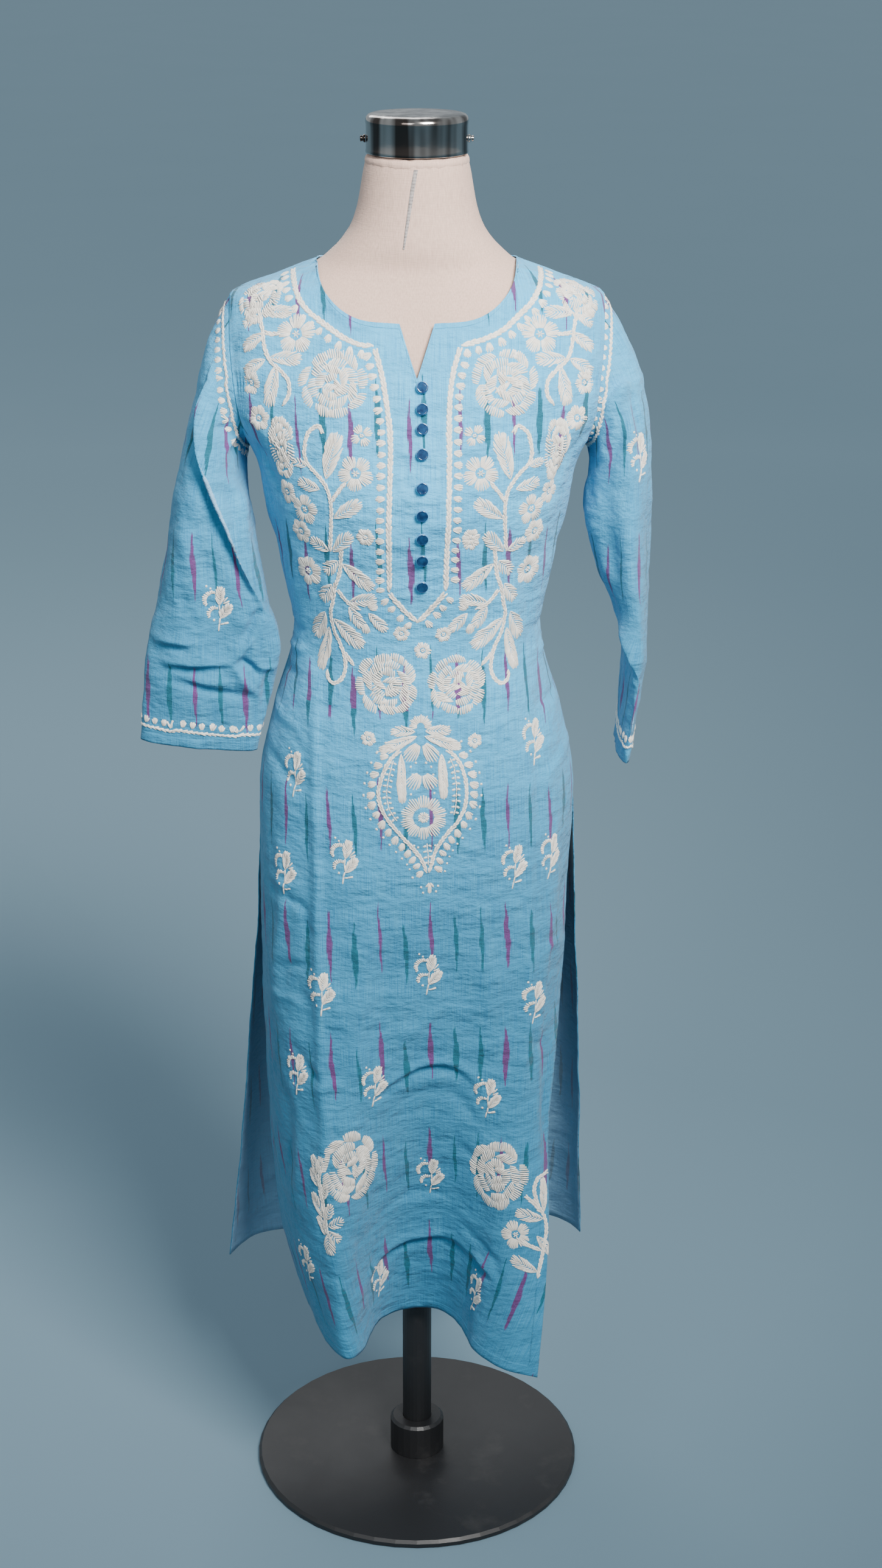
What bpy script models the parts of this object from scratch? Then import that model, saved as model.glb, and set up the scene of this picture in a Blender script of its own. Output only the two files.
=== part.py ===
"""A knee-length cotton kurti on a limbless dress form with a pole and a round base.

Metres, +Z up, the front faces -Y. The origin is on the floor, on the axis of the pole.
Every cloth piece is a closed wall: an outer grid of points that is worked out from the
tables below, and the same grid moved inwards by the thickness of the cloth.
"""
import math

import bmesh
import bpy
import numpy as np
from mathutils import Matrix, Vector

# Driving sizes
WALL = 0.0015            # thickness of the cloth wall
SEAM_GAP = 0.0003        # between pieces that are sewn or seated together
HEM_Z = 0.210
SLIT_Z = 0.820           # top of both side slits
BUST_Z = 1.135           # above this the columns of a panel run to its top edge
ARMPIT_Z = 1.170
TIP_Z = 1.318            # shoulder tip
NECK_Z = 1.352           # point of the neckline on the shoulder
V_BOTTOM_Z = 1.254
V_CORNER = (0.0165, 1.303)
BACK_NECK_Z = 1.333      # lowest point of the neckline behind
SHOULDER_REST = 0.0007   # between the form and the cloth along the top of the shoulders
REST_REACH = 0.140       # how far out on each shoulder the cloth rests
FORM_CLEARANCE = 0.0044  # between form and cloth everywhere else
TIP_CLEARANCE = 0.005    # and this much more at the shoulder tips
FORM_BOTTOM_Z = 0.680
NECK_TOP_Z = 1.4495

# Rows and columns of the cloth grids
V_COLUMNS, NECK_COLUMNS, SHOULDER_COLUMNS, ARM_COLUMNS = 2, 6, 4, 8
FRONT_SKIRT_ROWS, BACK_SKIRT_ROWS, BODY_ROWS, CHEST_ROWS = 11, 9, 6, 8
CHEST_CROWDING = 1.4     # above 1, the rows of the chest crowd towards the shoulder
NECK_SHARE, TIP_SHARE = 0.38, 0.56   # share of the half width below those points
TIP_SWING = 0.6          # from 0, a column that leans evenly, to 1, one that swings out last

# Outer face of the cloth on the form, a row for each height:
# height, half width, depth in front, depth behind, roundness of the section
BODY = (
    (0.600, 0.158, 0.110, 0.116, 2.3),
    (0.820, 0.161, 0.119, 0.122, 2.3),
    (0.900, 0.146, 0.113, 0.112, 2.3),
    (0.985, 0.124, 0.102, 0.092, 2.3),
    (1.060, 0.136, 0.113, 0.095, 2.3),
    (1.135, 0.150, 0.126, 0.103, 2.4),
    (1.170, 0.161, 0.122, 0.106, 2.5),
    (1.200, 0.178, 0.116, 0.106, 2.5),
    (1.240, 0.190, 0.106, 0.102, 2.5),
    (1.280, 0.188, 0.092, 0.091, 2.4),
    (1.318, 0.180, 0.074, 0.072, 2.2),
    (1.335, 0.138, 0.067, 0.062, 2.1),
    (1.352, 0.096, 0.061, 0.054, 2.0),
)
# Seam of the armhole: height, distance from the middle plane
ARMHOLE = (
    (1.170, 0.161),
    (1.185, 0.166),
    (1.205, 0.170),
    (1.240, 0.175),
    (1.280, 0.179),
    (1.318, 0.180),
)
# Neckline in front, from the V's corner to the shoulder: distance from the middle, height
FRONT_NECK = (
    (0.0165, 1.303),
    (0.0500, 1.3055),
    (0.0700, 1.3135),
    (0.0850, 1.3270),
    (0.0930, 1.3395),
    (0.0960, 1.3520),
)
# Front skirt as it would hang without its folds: height, left edge, right edge, depth
FRONT_SKIRT = (
    (0.210, 0.240, 0.180, 0.128),
    (0.300, 0.228, 0.171, 0.130),
    (0.370, 0.205, 0.162, 0.130),
    (0.456, 0.188, 0.154, 0.129),
    (0.573, 0.175, 0.158, 0.126),
    (0.690, 0.167, 0.161, 0.122),
    (0.820, 0.161, 0.161, 0.119),
)
# Plan of the front hem, from the left slit to the right one: x, y
FRONT_HEM = (
    (-0.128, 0.008),
    (-0.103, -0.087),
    (-0.0765, -0.136),
    (-0.056, -0.117),
    (-0.045, -0.072),
    (-0.026, -0.045),
    (0.000, -0.036),
    (0.026, -0.042),
    (0.046, -0.072),
    (0.059, -0.117),
    (0.0896, -0.155),
    (0.126, -0.172),
)
# Plan of the back hem
BACK_HEM = (
    (-0.214, 0.076),
    (-0.190, 0.118),
    (-0.150, 0.135),
    (-0.115, 0.118),
    (-0.080, 0.125),
    (-0.040, 0.155),
    (0.000, 0.150),
    (0.040, 0.128),
    (0.080, 0.135),
    (0.110, 0.165),
    (0.150, 0.168),
    (0.175, 0.150),
    (0.189, 0.126),
)
FRONT_FOLD_POWER = 1.5   # how late down the skirt the folds of the hem begin
BACK_FOLD_POWER = 1.4

# Sleeves as they hang: height, outer edge, inner edge, half depth, middle's y
LEFT_SLEEVE = (
    (0.862, 0.2800, 0.1610, 0.0150, -0.030),
    (0.900, 0.2765, 0.1520, 0.0200, -0.029),
    (0.944, 0.2730, 0.1420, 0.0260, -0.027),
    (0.975, 0.2680, 0.1385, 0.0310, -0.025),
    (1.032, 0.2550, 0.1520, 0.0400, -0.020),
    (1.100, 0.2430, 0.1610, 0.0500, -0.014),
    (1.139, 0.2360, 0.1670, 0.0550, -0.010),
    (1.180, 0.2270, 0.1715, 0.0560, -0.005),
    (1.240, 0.2120, 0.1700, 0.0540, 0.000),
    (1.318, 0.1940, 0.1700, 0.0500, 0.000),
)
RIGHT_SLEEVE = (
    (0.862, 0.2150, 0.2010, 0.0590, -0.020),
    (0.900, 0.2200, 0.2040, 0.0600, -0.020),
    (0.950, 0.2270, 0.2060, 0.0600, -0.018),
    (1.000, 0.2300, 0.2000, 0.0590, -0.015),
    (1.053, 0.2300, 0.1770, 0.0580, -0.012),
    (1.108, 0.2310, 0.1640, 0.0570, -0.008),
    (1.157, 0.2300, 0.1710, 0.0570, -0.004),
    (1.200, 0.2260, 0.1750, 0.0560, 0.000),
    (1.254, 0.2150, 0.1720, 0.0530, 0.000),
    (1.318, 0.1940, 0.1700, 0.0500, 0.000),
)
# Long folds of the sleeves: top, bottom, turn at the top, turn at the bottom (degrees from
# the outer edge, by way of the front), half width in degrees, push as a share of the radius
LEFT_FOLDS = (
    (1.160, 0.900, 130, 150, 24, 0.16),
    (1.130, 0.920, 85, 105, 24, -0.18),
    (1.180, 0.960, 40, 60, 26, 0.08),
    (1.150, 0.930, 230, 215, 26, -0.12),
)
RIGHT_FOLDS = (
    (1.220, 0.900, 70, 60, 26, 0.08),
    (1.160, 1.010, 115, 120, 26, -0.16),
    (1.180, 0.930, 250, 265, 26, 0.08),
    (1.130, 1.000, 205, 212, 26, -0.14),
)
LEFT_CUFF_Z = (0.873, 0.862)     # at the outer edge, at the inner edge
RIGHT_CUFF_Z = (0.864, 0.864)
CAP_DROP = (0.085, 0.030)        # how far below the seam the sleeve hangs free: top, underarm
CAP_REACH = (0.030, 0.011)       # how far it first runs on from the seam: top, underarm
CAP_SHARES = (0.0, 0.12, 0.35, 0.65, 1.0)
SLEEVE_ROWS = 10

# Neck of the form above the cloth: height, half width, depth in front, depth behind
NECK = (
    (1.3645, 0.0775, 0.0590, 0.0520),
    (1.3800, 0.0640, 0.0560, 0.0505),
    (1.4000, 0.0570, 0.0530, 0.0495),
    (1.4250, 0.0530, 0.0505, 0.0490),
    (1.4400, 0.0505, 0.0490, 0.0485),
    (NECK_TOP_Z, 0.0470, 0.0465, 0.0460),
)
FORM_HEIGHTS = (0.75, 0.82, 0.88, 0.94, 0.985, 1.03, 1.08, 1.135, 1.17, 1.20, 1.24, 1.28,
                1.30, 1.318, 1.327, 1.335, 1.344, 1.352)
FORM_COLUMNS = 16        # on each of the form's two halves

# Buttons: height of each centre, down the front
BUTTON_HEIGHTS = (1.247, 1.228, 1.210, 1.187, 1.156, 1.131, 1.108, 1.0855, 1.058)
BUTTON_X = 0.005
BUTTON_SEAT = 0.0005     # from the front's outer face
# Half section of a button: radius, height above its seat
BUTTON_PROFILE = (
    (0.0046, 0.0000),
    (0.0058, 0.0010),
    (0.0058, 0.0026),
    (0.0050, 0.0036),
    (0.0040, 0.0032),
)
# Half section of the cap on the neck: radius, height
CAP_PROFILE = (
    (0.0462, 1.4498),
    (0.0485, 1.4515),
    (0.0485, 1.4800),
    (0.0472, 1.4840),
    (0.0440, 1.4860),
)
SCREW_RADIUS, SCREW_LENGTH, SCREW_Z = 0.0036, 0.0052, 1.463

POLE_RADIUS = 0.016
BASE_RADIUS, BASE_THICKNESS = 0.180, 0.008
COLLAR_RADIUS, COLLAR_HEIGHT = 0.030, 0.040

# Colours: red, green, blue, roughness, metallic
CLOTH_BLUE = (0.16, 0.44, 0.68, 0.85, 0.0)
FORM_COTTON = (0.70, 0.60, 0.54, 0.90, 0.0)
BUTTON_BLUE = (0.02, 0.12, 0.34, 0.18, 0.4)
CHROME = (0.80, 0.79, 0.78, 0.10, 1.0)
BLACK_METAL = (0.015, 0.015, 0.017, 0.45, 0.3)


def clear_scene():
    for thing in list(bpy.data.objects):
        bpy.data.objects.remove(thing, do_unlink=True)


def paint(thing, name, colour):
    material = bpy.data.materials.get(name) or bpy.data.materials.new(name)
    material.use_nodes = True
    shader = material.node_tree.nodes["Principled BSDF"]
    shader.inputs["Base Color"].default_value = (*colour[:3], 1.0)
    shader.inputs["Roughness"].default_value = colour[3]
    shader.inputs["Metallic"].default_value = colour[4]
    thing.data.materials.append(material)


def add_object(name, bm, material, colour):
    bmesh.ops.recalc_face_normals(bm, faces=bm.faces)
    mesh = bpy.data.meshes.new(name)
    bm.to_mesh(mesh)
    bm.free()
    mesh.shade_smooth()
    mesh.set_sharp_from_angle(angle=math.radians(50))
    thing = bpy.data.objects.new(name, mesh)
    bpy.context.collection.objects.link(thing)
    paint(thing, material, colour)
    return thing


def curve_through(rows, column, at):
    """Read a column of a table at any height by a smooth curve that never overshoots."""
    table = np.array(sorted(rows))
    x, y = table[:, 0], table[:, column]
    step, rise = np.diff(x), np.diff(y) / np.diff(x)
    slope = np.zeros(len(x))
    same = rise[1:] * rise[:-1] > 0
    weight_a, weight_b = 2 * step[1:] + step[:-1], step[1:] + 2 * step[:-1]
    safe = np.where(same, rise[1:] * rise[:-1], 1.0)
    harmonic = (weight_a + weight_b) * safe / (weight_a * rise[1:] + weight_b * rise[:-1] + 1e-30)
    slope[1:-1] = np.where(same, harmonic, 0.0)
    slope[0], slope[-1] = rise[0], rise[-1]
    at = np.clip(np.asarray(at, float), x[0], x[-1])
    k = np.clip(np.searchsorted(x, at, side="right") - 1, 0, len(x) - 2)
    t = (at - x[k]) / step[k]
    return ((1 + 2 * t) * (1 - t) ** 2 * y[k] + t * (1 - t) ** 2 * step[k] * slope[k]
            + t * t * (3 - 2 * t) * y[k + 1] + t * t * (t - 1) * step[k] * slope[k + 1])


def share_out(points, shares):
    """Points at the given shares of a line's length."""
    points = np.asarray(points, float)
    run = np.concatenate(([0.0], np.cumsum(np.linalg.norm(np.diff(points, axis=0), axis=1))))
    return np.stack([np.interp(np.asarray(shares) * run[-1], run, points[:, axis])
                     for axis in range(points.shape[1])], axis=1)


def smooth_line(points, steps=24):
    """A Catmull-Rom curve through a short list of points."""
    p = np.asarray(points, float)
    p = np.vstack((2 * p[0] - p[1], p, 2 * p[-1] - p[-2]))
    line = []
    for k in range(1, len(p) - 2):
        for t in np.arange(steps) / steps:
            line.append(0.5 * (2 * p[k] + (p[k + 1] - p[k - 1]) * t
                               + (2 * p[k - 1] - 5 * p[k] + 4 * p[k + 1] - p[k + 2]) * t ** 2
                               + (3 * p[k] - p[k - 1] - 3 * p[k + 1] + p[k + 2]) * t ** 3))
    line.append(p[-2])
    return np.array(line)


def body_depth(x, z, side):
    """How far the cloth stands from the middle plane, in front (-1) or behind (1)."""
    reach, round_ = curve_through(BODY, 1, z), curve_through(BODY, 4, z)
    depth = curve_through(BODY, 2 if side < 0 else 3, z)
    left = np.clip(1 - (np.abs(x) / reach) ** round_, 0, None)
    return side * depth * left ** (1 / round_)


def half_section(left, right, depth, roundness, side):
    """One half of a rounded section, from its left edge to its right one."""
    turn = np.linspace(-math.pi / 2, math.pi / 2, 121)
    sine, cosine = np.sin(turn), np.clip(np.cos(turn), 0, None)
    width = np.where(sine < 0, left, right)
    x = width * np.sign(sine) * np.abs(sine) ** (2 / roundness)
    return np.stack((x, side * depth * cosine ** (2 / roundness)), axis=1)


def column_shares():
    """Where the columns of a panel lie across its half width, from the middle to the side."""
    v_share = 0.09
    middle = np.linspace(0, v_share, V_COLUMNS + 1)[:-1]
    neck = np.linspace(v_share, NECK_SHARE, NECK_COLUMNS + 1)[:-1]
    shoulder = np.linspace(NECK_SHARE, TIP_SHARE, SHOULDER_COLUMNS + 1)[:-1]
    arm = np.linspace(TIP_SHARE, 1, ARM_COLUMNS + 1)
    return np.concatenate((middle, neck, shoulder, arm))


def column_swing():
    """How late each column of half a panel swings outwards, so that it meets its edge square."""
    middle = np.zeros(V_COLUMNS + NECK_COLUMNS)
    shoulder = np.linspace(0, TIP_SWING, SHOULDER_COLUMNS + 1)[:-1]
    start = math.asin(TIP_SWING)
    arm = np.sin(np.linspace(start, math.pi, ARM_COLUMNS + 1))
    return np.concatenate((middle, shoulder, arm))


def armhole_line(count):
    """Distance from the middle and height of the armhole seam, tip to armpit."""
    turn = np.linspace(0, math.pi, count + 1)
    z = (TIP_Z + ARMPIT_Z) / 2 + (TIP_Z - ARMPIT_Z) / 2 * np.cos(turn)
    x = curve_through(ARMHOLE, 1, z)
    x[0], x[-1] = curve_through(BODY, 1, z[[0, -1]])
    return np.stack((x, z), axis=1)


def top_edge(side):
    """The top edge of half a panel from its middle to the armpit: x and z of each column."""
    count = NECK_COLUMNS
    if side < 0:
        middle = np.array([(0.0, V_BOTTOM_Z), (V_CORNER[0] / 2, (V_BOTTOM_Z + V_CORNER[1]) / 2)])
        line = smooth_line(FRONT_NECK)
    else:
        middle = np.empty((0, 2))
        x = np.linspace(0, curve_through(BODY, 1, NECK_Z), 60)
        line = np.stack((x, BACK_NECK_Z + (NECK_Z - BACK_NECK_Z) * (x / x[-1]) ** 2.6), axis=1)
        count += V_COLUMNS
    round_neck = np.column_stack((line, body_depth(line[:, 0], line[:, 1], side)))
    neck = share_out(round_neck, np.arange(count) / count)[:, :2]
    z = np.linspace(NECK_Z, TIP_Z, SHOULDER_COLUMNS + 1)[:-1]
    shoulder = np.stack((curve_through(BODY, 1, z), z), axis=1)
    return np.vstack((middle, neck, shoulder, armhole_line(ARM_COLUMNS)))


def skirt_row(z, side, shares):
    """Plan of a panel below the slits' top: a plain section that turns into the hem's folds."""
    down = (SLIT_Z - z) / (SLIT_Z - HEM_Z)
    if side < 0:
        plain = half_section(curve_through(FRONT_SKIRT, 1, z), curve_through(FRONT_SKIRT, 2, z),
                             curve_through(FRONT_SKIRT, 3, z), 2.3 + 0.9 * down, side)
        hem, power = FRONT_HEM, FRONT_FOLD_POWER
    else:
        plain = half_section(0.161, 0.161 + 0.012 * down, 0.122, 2.3, side)
        hem, power = BACK_HEM, BACK_FOLD_POWER
    fold = down ** power
    return (1 - fold) * share_out(plain, shares) + fold * share_out(smooth_line(hem), shares)


def panel_grid(side):
    """Outer points of the front (-1) or the back (1), hem row first, left column first."""
    half = column_shares()
    shares = np.concatenate((0.5 - half[:0:-1] / 2, 0.5 + half / 2))
    rows = []
    skirt_rows = FRONT_SKIRT_ROWS if side < 0 else BACK_SKIRT_ROWS
    for z in np.linspace(HEM_Z, SLIT_Z, skirt_rows + 1)[:-1]:
        plan = skirt_row(z, side, shares)
        rows.append(np.column_stack((plan, np.full(len(plan), z))))
    for z in np.linspace(SLIT_Z, BUST_Z, BODY_ROWS + 1):
        reach, round_ = curve_through(BODY, 1, z), curve_through(BODY, 4, z)
        depth = curve_through(BODY, 2 if side < 0 else 3, z)
        plan = share_out(half_section(reach, reach, depth, round_, side), shares)
        rows.append(np.column_stack((plan, np.full(len(plan), z))))
    bust = rows[-1]
    edge = top_edge(side)
    edge = np.vstack((edge[:0:-1] * (-1, 1), edge))
    reach_low = float(curve_through(BODY, 1, BUST_Z))
    reach_top = curve_through(BODY, 1, edge[:, 1])
    distance = np.concatenate((half[:0:-1], half))
    near_side = np.clip((distance - TIP_SHARE) / (1 - TIP_SHARE), 0, 1)
    turn = np.linspace(0, math.pi / 2, 81)[:, None]
    z = BUST_Z + (edge[:, 1] - BUST_Z) * np.sin(turn)
    swing = column_swing()
    swing = np.concatenate((swing[:0:-1], swing))
    t = np.sin(turn) * (1 - swing) + (1 - np.cos(turn)) * swing
    straight = bust[:, 0] + (edge[:, 0] - bust[:, 0]) * t
    ratio = bust[:, 0] / reach_low * (1 - t) + edge[:, 0] / reach_top * t
    x = straight * (1 - near_side) + ratio * curve_through(BODY, 1, z) * near_side
    columns = np.stack((x, body_depth(x, z, side), z), axis=2)
    up = 1 - (1 - np.arange(1, CHEST_ROWS + 1) / CHEST_ROWS) ** CHEST_CROWDING
    chest = np.stack([share_out(columns[:, c], up) for c in range(len(edge))], axis=1)
    grid = np.concatenate((np.array(rows), chest))
    seam = np.zeros(grid.shape[:2], bool)
    seam[skirt_rows:, [0, -1]] = True
    seam[-1] = np.abs(grid[-1, :, 1]) < 1e-4
    grid[..., 1] = np.where(seam, side * SEAM_GAP / 2, grid[..., 1])
    return grid, seam


def grid_normals(grid, around=False):
    """Unit normals of a grid of points, by the directions to each point's neighbours."""
    if around:
        across = np.roll(grid, -1, axis=1) - np.roll(grid, 1, axis=1)
    else:
        across = np.gradient(grid, axis=1)
    normals = np.cross(across, np.gradient(grid, axis=0))
    return normals / np.linalg.norm(normals, axis=2, keepdims=True)


def body_normal(point):
    """Outward normal of the cloth on the form at a point of it."""
    x, y, z = point
    side = -1 if y < 0 else 1

    def level(x, y, z):
        reach, round_ = curve_through(BODY, 1, z), curve_through(BODY, 4, z)
        depth = curve_through(BODY, 2 if side < 0 else 3, z)
        return float((abs(x) / reach) ** round_ + (abs(y) / depth) ** round_)

    d = 1e-4
    slope = Vector((level(x + d, y, z) - level(x - d, y, z),
                    level(x, y + d, z) - level(x, y - d, z) if abs(y) > 2 * d else 0.0,
                    level(x, y, z + d) - level(x, y, z - d)))
    return np.array(slope.normalized())


def add_rim(bm, a, b, inner_b, inner_a):
    """One stretch of a wall's edge, cut along the diagonal that its neighbour's edge has too."""
    if a.co.z < b.co.z:
        a, b, inner_a, inner_b = b, a, inner_b, inner_a
    bm.faces.new((a, b, inner_b))
    bm.faces.new((a, inner_b, inner_a))


def wall_solid(name, outer, normals, around=False):
    """A closed wall of cloth between a grid of points and the same grid moved inwards."""
    inner = outer - normals * WALL
    rows, columns = outer.shape[:2]
    bm = bmesh.new()
    out = [[bm.verts.new(p) for p in row] for row in outer]
    back = [[bm.verts.new(p) for p in row] for row in inner]
    last = columns if around else columns - 1
    for r in range(rows - 1):
        for c in range(last):
            d = (c + 1) % columns
            bm.faces.new((out[r][c], out[r][d], out[r + 1][d], out[r + 1][c]))
            bm.faces.new((back[r][c], back[r + 1][c], back[r + 1][d], back[r][d]))
    for c in range(last):
        d = (c + 1) % columns
        for row in (0, -1):
            add_rim(bm, out[row][c], out[row][d], back[row][d], back[row][c])
    if not around:
        for r in range(rows - 1):
            for edge in (0, -1):
                add_rim(bm, out[r][edge], out[r + 1][edge], back[r + 1][edge], back[r][edge])
    return add_object(name, bm, "cloth", CLOTH_BLUE)


def make_panel(name, side):
    grid, seam = panel_grid(side)
    normals = grid_normals(grid) * (-1 if side > 0 else 1)
    if np.mean(normals[..., 1]) * side < 0:
        normals = -normals
    for r, c in zip(*np.nonzero(seam)):
        if grid[r, c, 2] > SLIT_Z + WALL:
            normals[r, c] = body_normal(grid[r, c])
        else:
            normals[r, c, 1] = 0
            normals[r, c] /= np.linalg.norm(normals[r, c])
    edge = len(grid[0])
    for c in list(range(ARM_COLUMNS + 1)) + list(range(edge - ARM_COLUMNS - 1, edge)):
        normals[-1, c] = body_normal(grid[-1, c])
    return wall_solid(name, grid, normals)


def fold_push(folds, turn, z):
    """How far the folds push a sleeve out at a point, as a share of its radius there."""
    push = 0.0
    for top, bottom, turn_top, turn_bottom, width, share in folds:
        down = (top - z) / (top - bottom)
        if 0 < down < 1:
            middle = turn_top + (turn_bottom - turn_top) * down
            off = (math.degrees(turn) - middle + 180) % 360 - 180
            push += share * math.sin(math.pi * down) * math.exp(-(off / width) ** 2)
    return push


def sleeve_point(sleeve, side, turn, z):
    """A point of the hanging sleeve: turn 0 is its outer edge, 90 degrees its front."""
    rows, folds = sleeve
    outer, inner = curve_through(rows, 1, z), curve_through(rows, 2, z)
    depth, middle = curve_through(rows, 3, z), curve_through(rows, 4, z)
    scale = 1 + fold_push(folds, turn, z)
    x = (outer + inner) / 2 + (outer - inner) / 2 * math.cos(turn) * scale
    return np.array((side * float(x), float(middle - depth * math.sin(turn) * scale), float(z)))


def sleeve_grid(side, sleeve, cuff):
    """Outer points of a sleeve, armhole ring first, and the normals of that ring."""
    front = [(side * x, float(body_depth(x, z, -1)), z) for x, z in armhole_line(ARM_COLUMNS)]
    back = [(side * x, float(body_depth(x, z, 1)), z) for x, z in armhole_line(ARM_COLUMNS)]
    loop = np.array(front + back[-2:0:-1])
    loop[[0, ARM_COLUMNS], 1] = 0.0
    first = np.array([body_normal(p) for p in loop])
    along = np.roll(loop, -1, axis=0) - np.roll(loop, 1, axis=0)
    onward = np.cross(along, first)
    onward /= np.linalg.norm(onward, axis=1, keepdims=True)
    onward *= np.sign(onward[:, :1] * side)
    turns = np.arange(len(loop)) / len(loop) * 2 * math.pi
    lines = []
    for point, away, turn in zip(loop, onward, turns):
        low = (1 - math.cos(turn)) / 2
        start = point + away * SEAM_GAP
        lead = away + np.array((side, 0.0, -0.5)) * 0.8 * abs(math.sin(turn))
        lead /= np.linalg.norm(lead)
        reach = CAP_REACH[0] + (CAP_REACH[1] - CAP_REACH[0]) * low
        free_z = point[2] - (CAP_DROP[0] + (CAP_DROP[1] - CAP_DROP[0]) * low)
        free = sleeve_point(sleeve, side, turn, free_z)
        above = sleeve_point(sleeve, side, turn, free_z + 0.004)
        pull = free + (above - free) / np.linalg.norm(above - free) * reach
        line = [(1 - t) ** 3 * start + 3 * (1 - t) ** 2 * t * (start + lead * reach)
                + 3 * (1 - t) * t ** 2 * pull + t ** 3 * free for t in CAP_SHARES]
        cuff_z = cuff[0] + (cuff[1] - cuff[0]) * low
        for z in np.linspace(free_z, cuff_z, SLEEVE_ROWS + 1)[1:]:
            line.append(sleeve_point(sleeve, side, turn, z))
        lines.append(line)
    return np.array(lines).transpose(1, 0, 2), first


def make_sleeve(name, side, sleeve, cuff):
    grid, first = sleeve_grid(side, sleeve, cuff)
    normals = grid_normals(grid, around=True)
    middle = grid[-1].mean(axis=0)
    if np.sum(normals[-1] * (grid[-1] - middle)) < 0:
        normals = -normals
    normals[0] = first
    return wall_solid(name, grid, normals, around=True)


def form_clearance(point):
    """How far the form lies under the cloth: close on the shoulders' tops only."""
    if point[2] < TIP_Z - 0.030:
        return FORM_CLEARANCE
    to_tip = min(max((abs(point[0]) - REST_REACH) / (0.180 - REST_REACH), 0), 1)
    away = max(min(abs(point[1]) / 0.030, 1), min(to_tip * 2, 1))
    return SHOULDER_REST + (FORM_CLEARANCE - SHOULDER_REST) * away + TIP_CLEARANCE * to_tip


def make_form():
    """The solid torso and neck that the cloth rests on."""
    shares = np.linspace(0, 1, FORM_COLUMNS + 1)
    rings = []
    for z in (FORM_BOTTOM_Z,) + FORM_HEIGHTS:
        reach, round_ = curve_through(BODY, 1, z), curve_through(BODY, 4, z)
        ring = []
        for side, column in ((-1, 2), (1, 3)):
            depth = curve_through(BODY, column, z)
            plan = share_out(half_section(reach, reach, depth, round_, side), shares)
            plan = plan[:-1] if side < 0 else plan[:0:-1]
            ring += [np.array((x, y, z)) for x, y in plan]
        ring = [p - body_normal(p) * (WALL + form_clearance(p)) for p in ring]
        if z == FORM_BOTTOM_Z:
            ring = [np.array((p[0] * 0.97, p[1] * 0.97, z)) for p in ring]
        rings.append(ring)
    for z, reach, front, behind in NECK:
        ring = []
        for side, depth in ((-1, front), (1, behind)):
            plan = share_out(half_section(reach, reach, depth, 2.0, side), shares)
            plan = plan[:-1] if side < 0 else plan[:0:-1]
            ring += [np.array((x, y, z)) for x, y in plan]
        rings.append(ring)
    bm = bmesh.new()
    rows = [[bm.verts.new(p) for p in ring] for ring in rings]
    count = len(rows[0])
    for low, high in zip(rows, rows[1:]):
        for c in range(count):
            d = (c + 1) % count
            bm.faces.new((low[c], low[d], high[d], high[c]))
    bm.faces.new(rows[0])
    bm.faces.new(rows[-1])
    return add_object("form_torso", bm, "form_cotton", FORM_COTTON)


def turned(name, profile, sides, material, colour):
    """A closed turned piece from its half section of radii and heights."""
    bm = bmesh.new()
    rings = []
    for radius, height in profile:
        turns = np.arange(sides) / sides * 2 * math.pi
        rings.append([bm.verts.new((radius * math.cos(t), radius * math.sin(t), height))
                      for t in turns])
    for low, high in zip(rings, rings[1:]):
        for c in range(sides):
            d = (c + 1) % sides
            bm.faces.new((low[c], low[d], high[d], high[c]))
    bm.faces.new(rings[0])
    bm.faces.new(rings[-1])
    return add_object(name, bm, material, colour)


def on_panel(grid, x, z):
    """The point of a panel's own facets near the middle at a distance x and a height z."""
    middle = grid.shape[1] // 2
    across = x / grid[:, middle + 1, 0]
    line = grid[:, middle] + (grid[:, middle + 1] - grid[:, middle]) * across[:, None]
    return Vector([np.interp(z, line[:, 2], line[:, axis]) for axis in range(3)])


def make_buttons():
    grid, _ = panel_grid(-1)
    step = 0.003
    for number, z in enumerate(BUTTON_HEIGHTS, start=1):
        spot = on_panel(grid, BUTTON_X, z)
        up = on_panel(grid, BUTTON_X, z + step) - on_panel(grid, BUTTON_X, z - step)
        across = on_panel(grid, BUTTON_X + step, z) - on_panel(grid, BUTTON_X - step, z)
        normal = across.cross(up).normalized()
        button = turned(f"button_{number}", BUTTON_PROFILE, 12, "button", BUTTON_BLUE)
        button.rotation_mode = "QUATERNION"
        button.rotation_quaternion = normal.to_track_quat("Z", "Y")
        button.location = spot + normal * BUTTON_SEAT


def make_neck_cap():
    turned("neck_cap", CAP_PROFILE, 40, "chrome", CHROME)
    start = CAP_PROFILE[1][0] + SEAM_GAP
    profile = ((SCREW_RADIUS, 0.0), (SCREW_RADIUS, SCREW_LENGTH * 0.7),
               (SCREW_RADIUS * 0.6, SCREW_LENGTH))
    for name, side in (("cap_screw_left", -1), ("cap_screw_right", 1)):
        screw = turned(name, profile, 14, "chrome", CHROME)
        screw.matrix_world = (Matrix.Translation((side * start, 0, SCREW_Z))
                              @ Matrix.Rotation(side * math.pi / 2, 4, "Y"))


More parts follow.
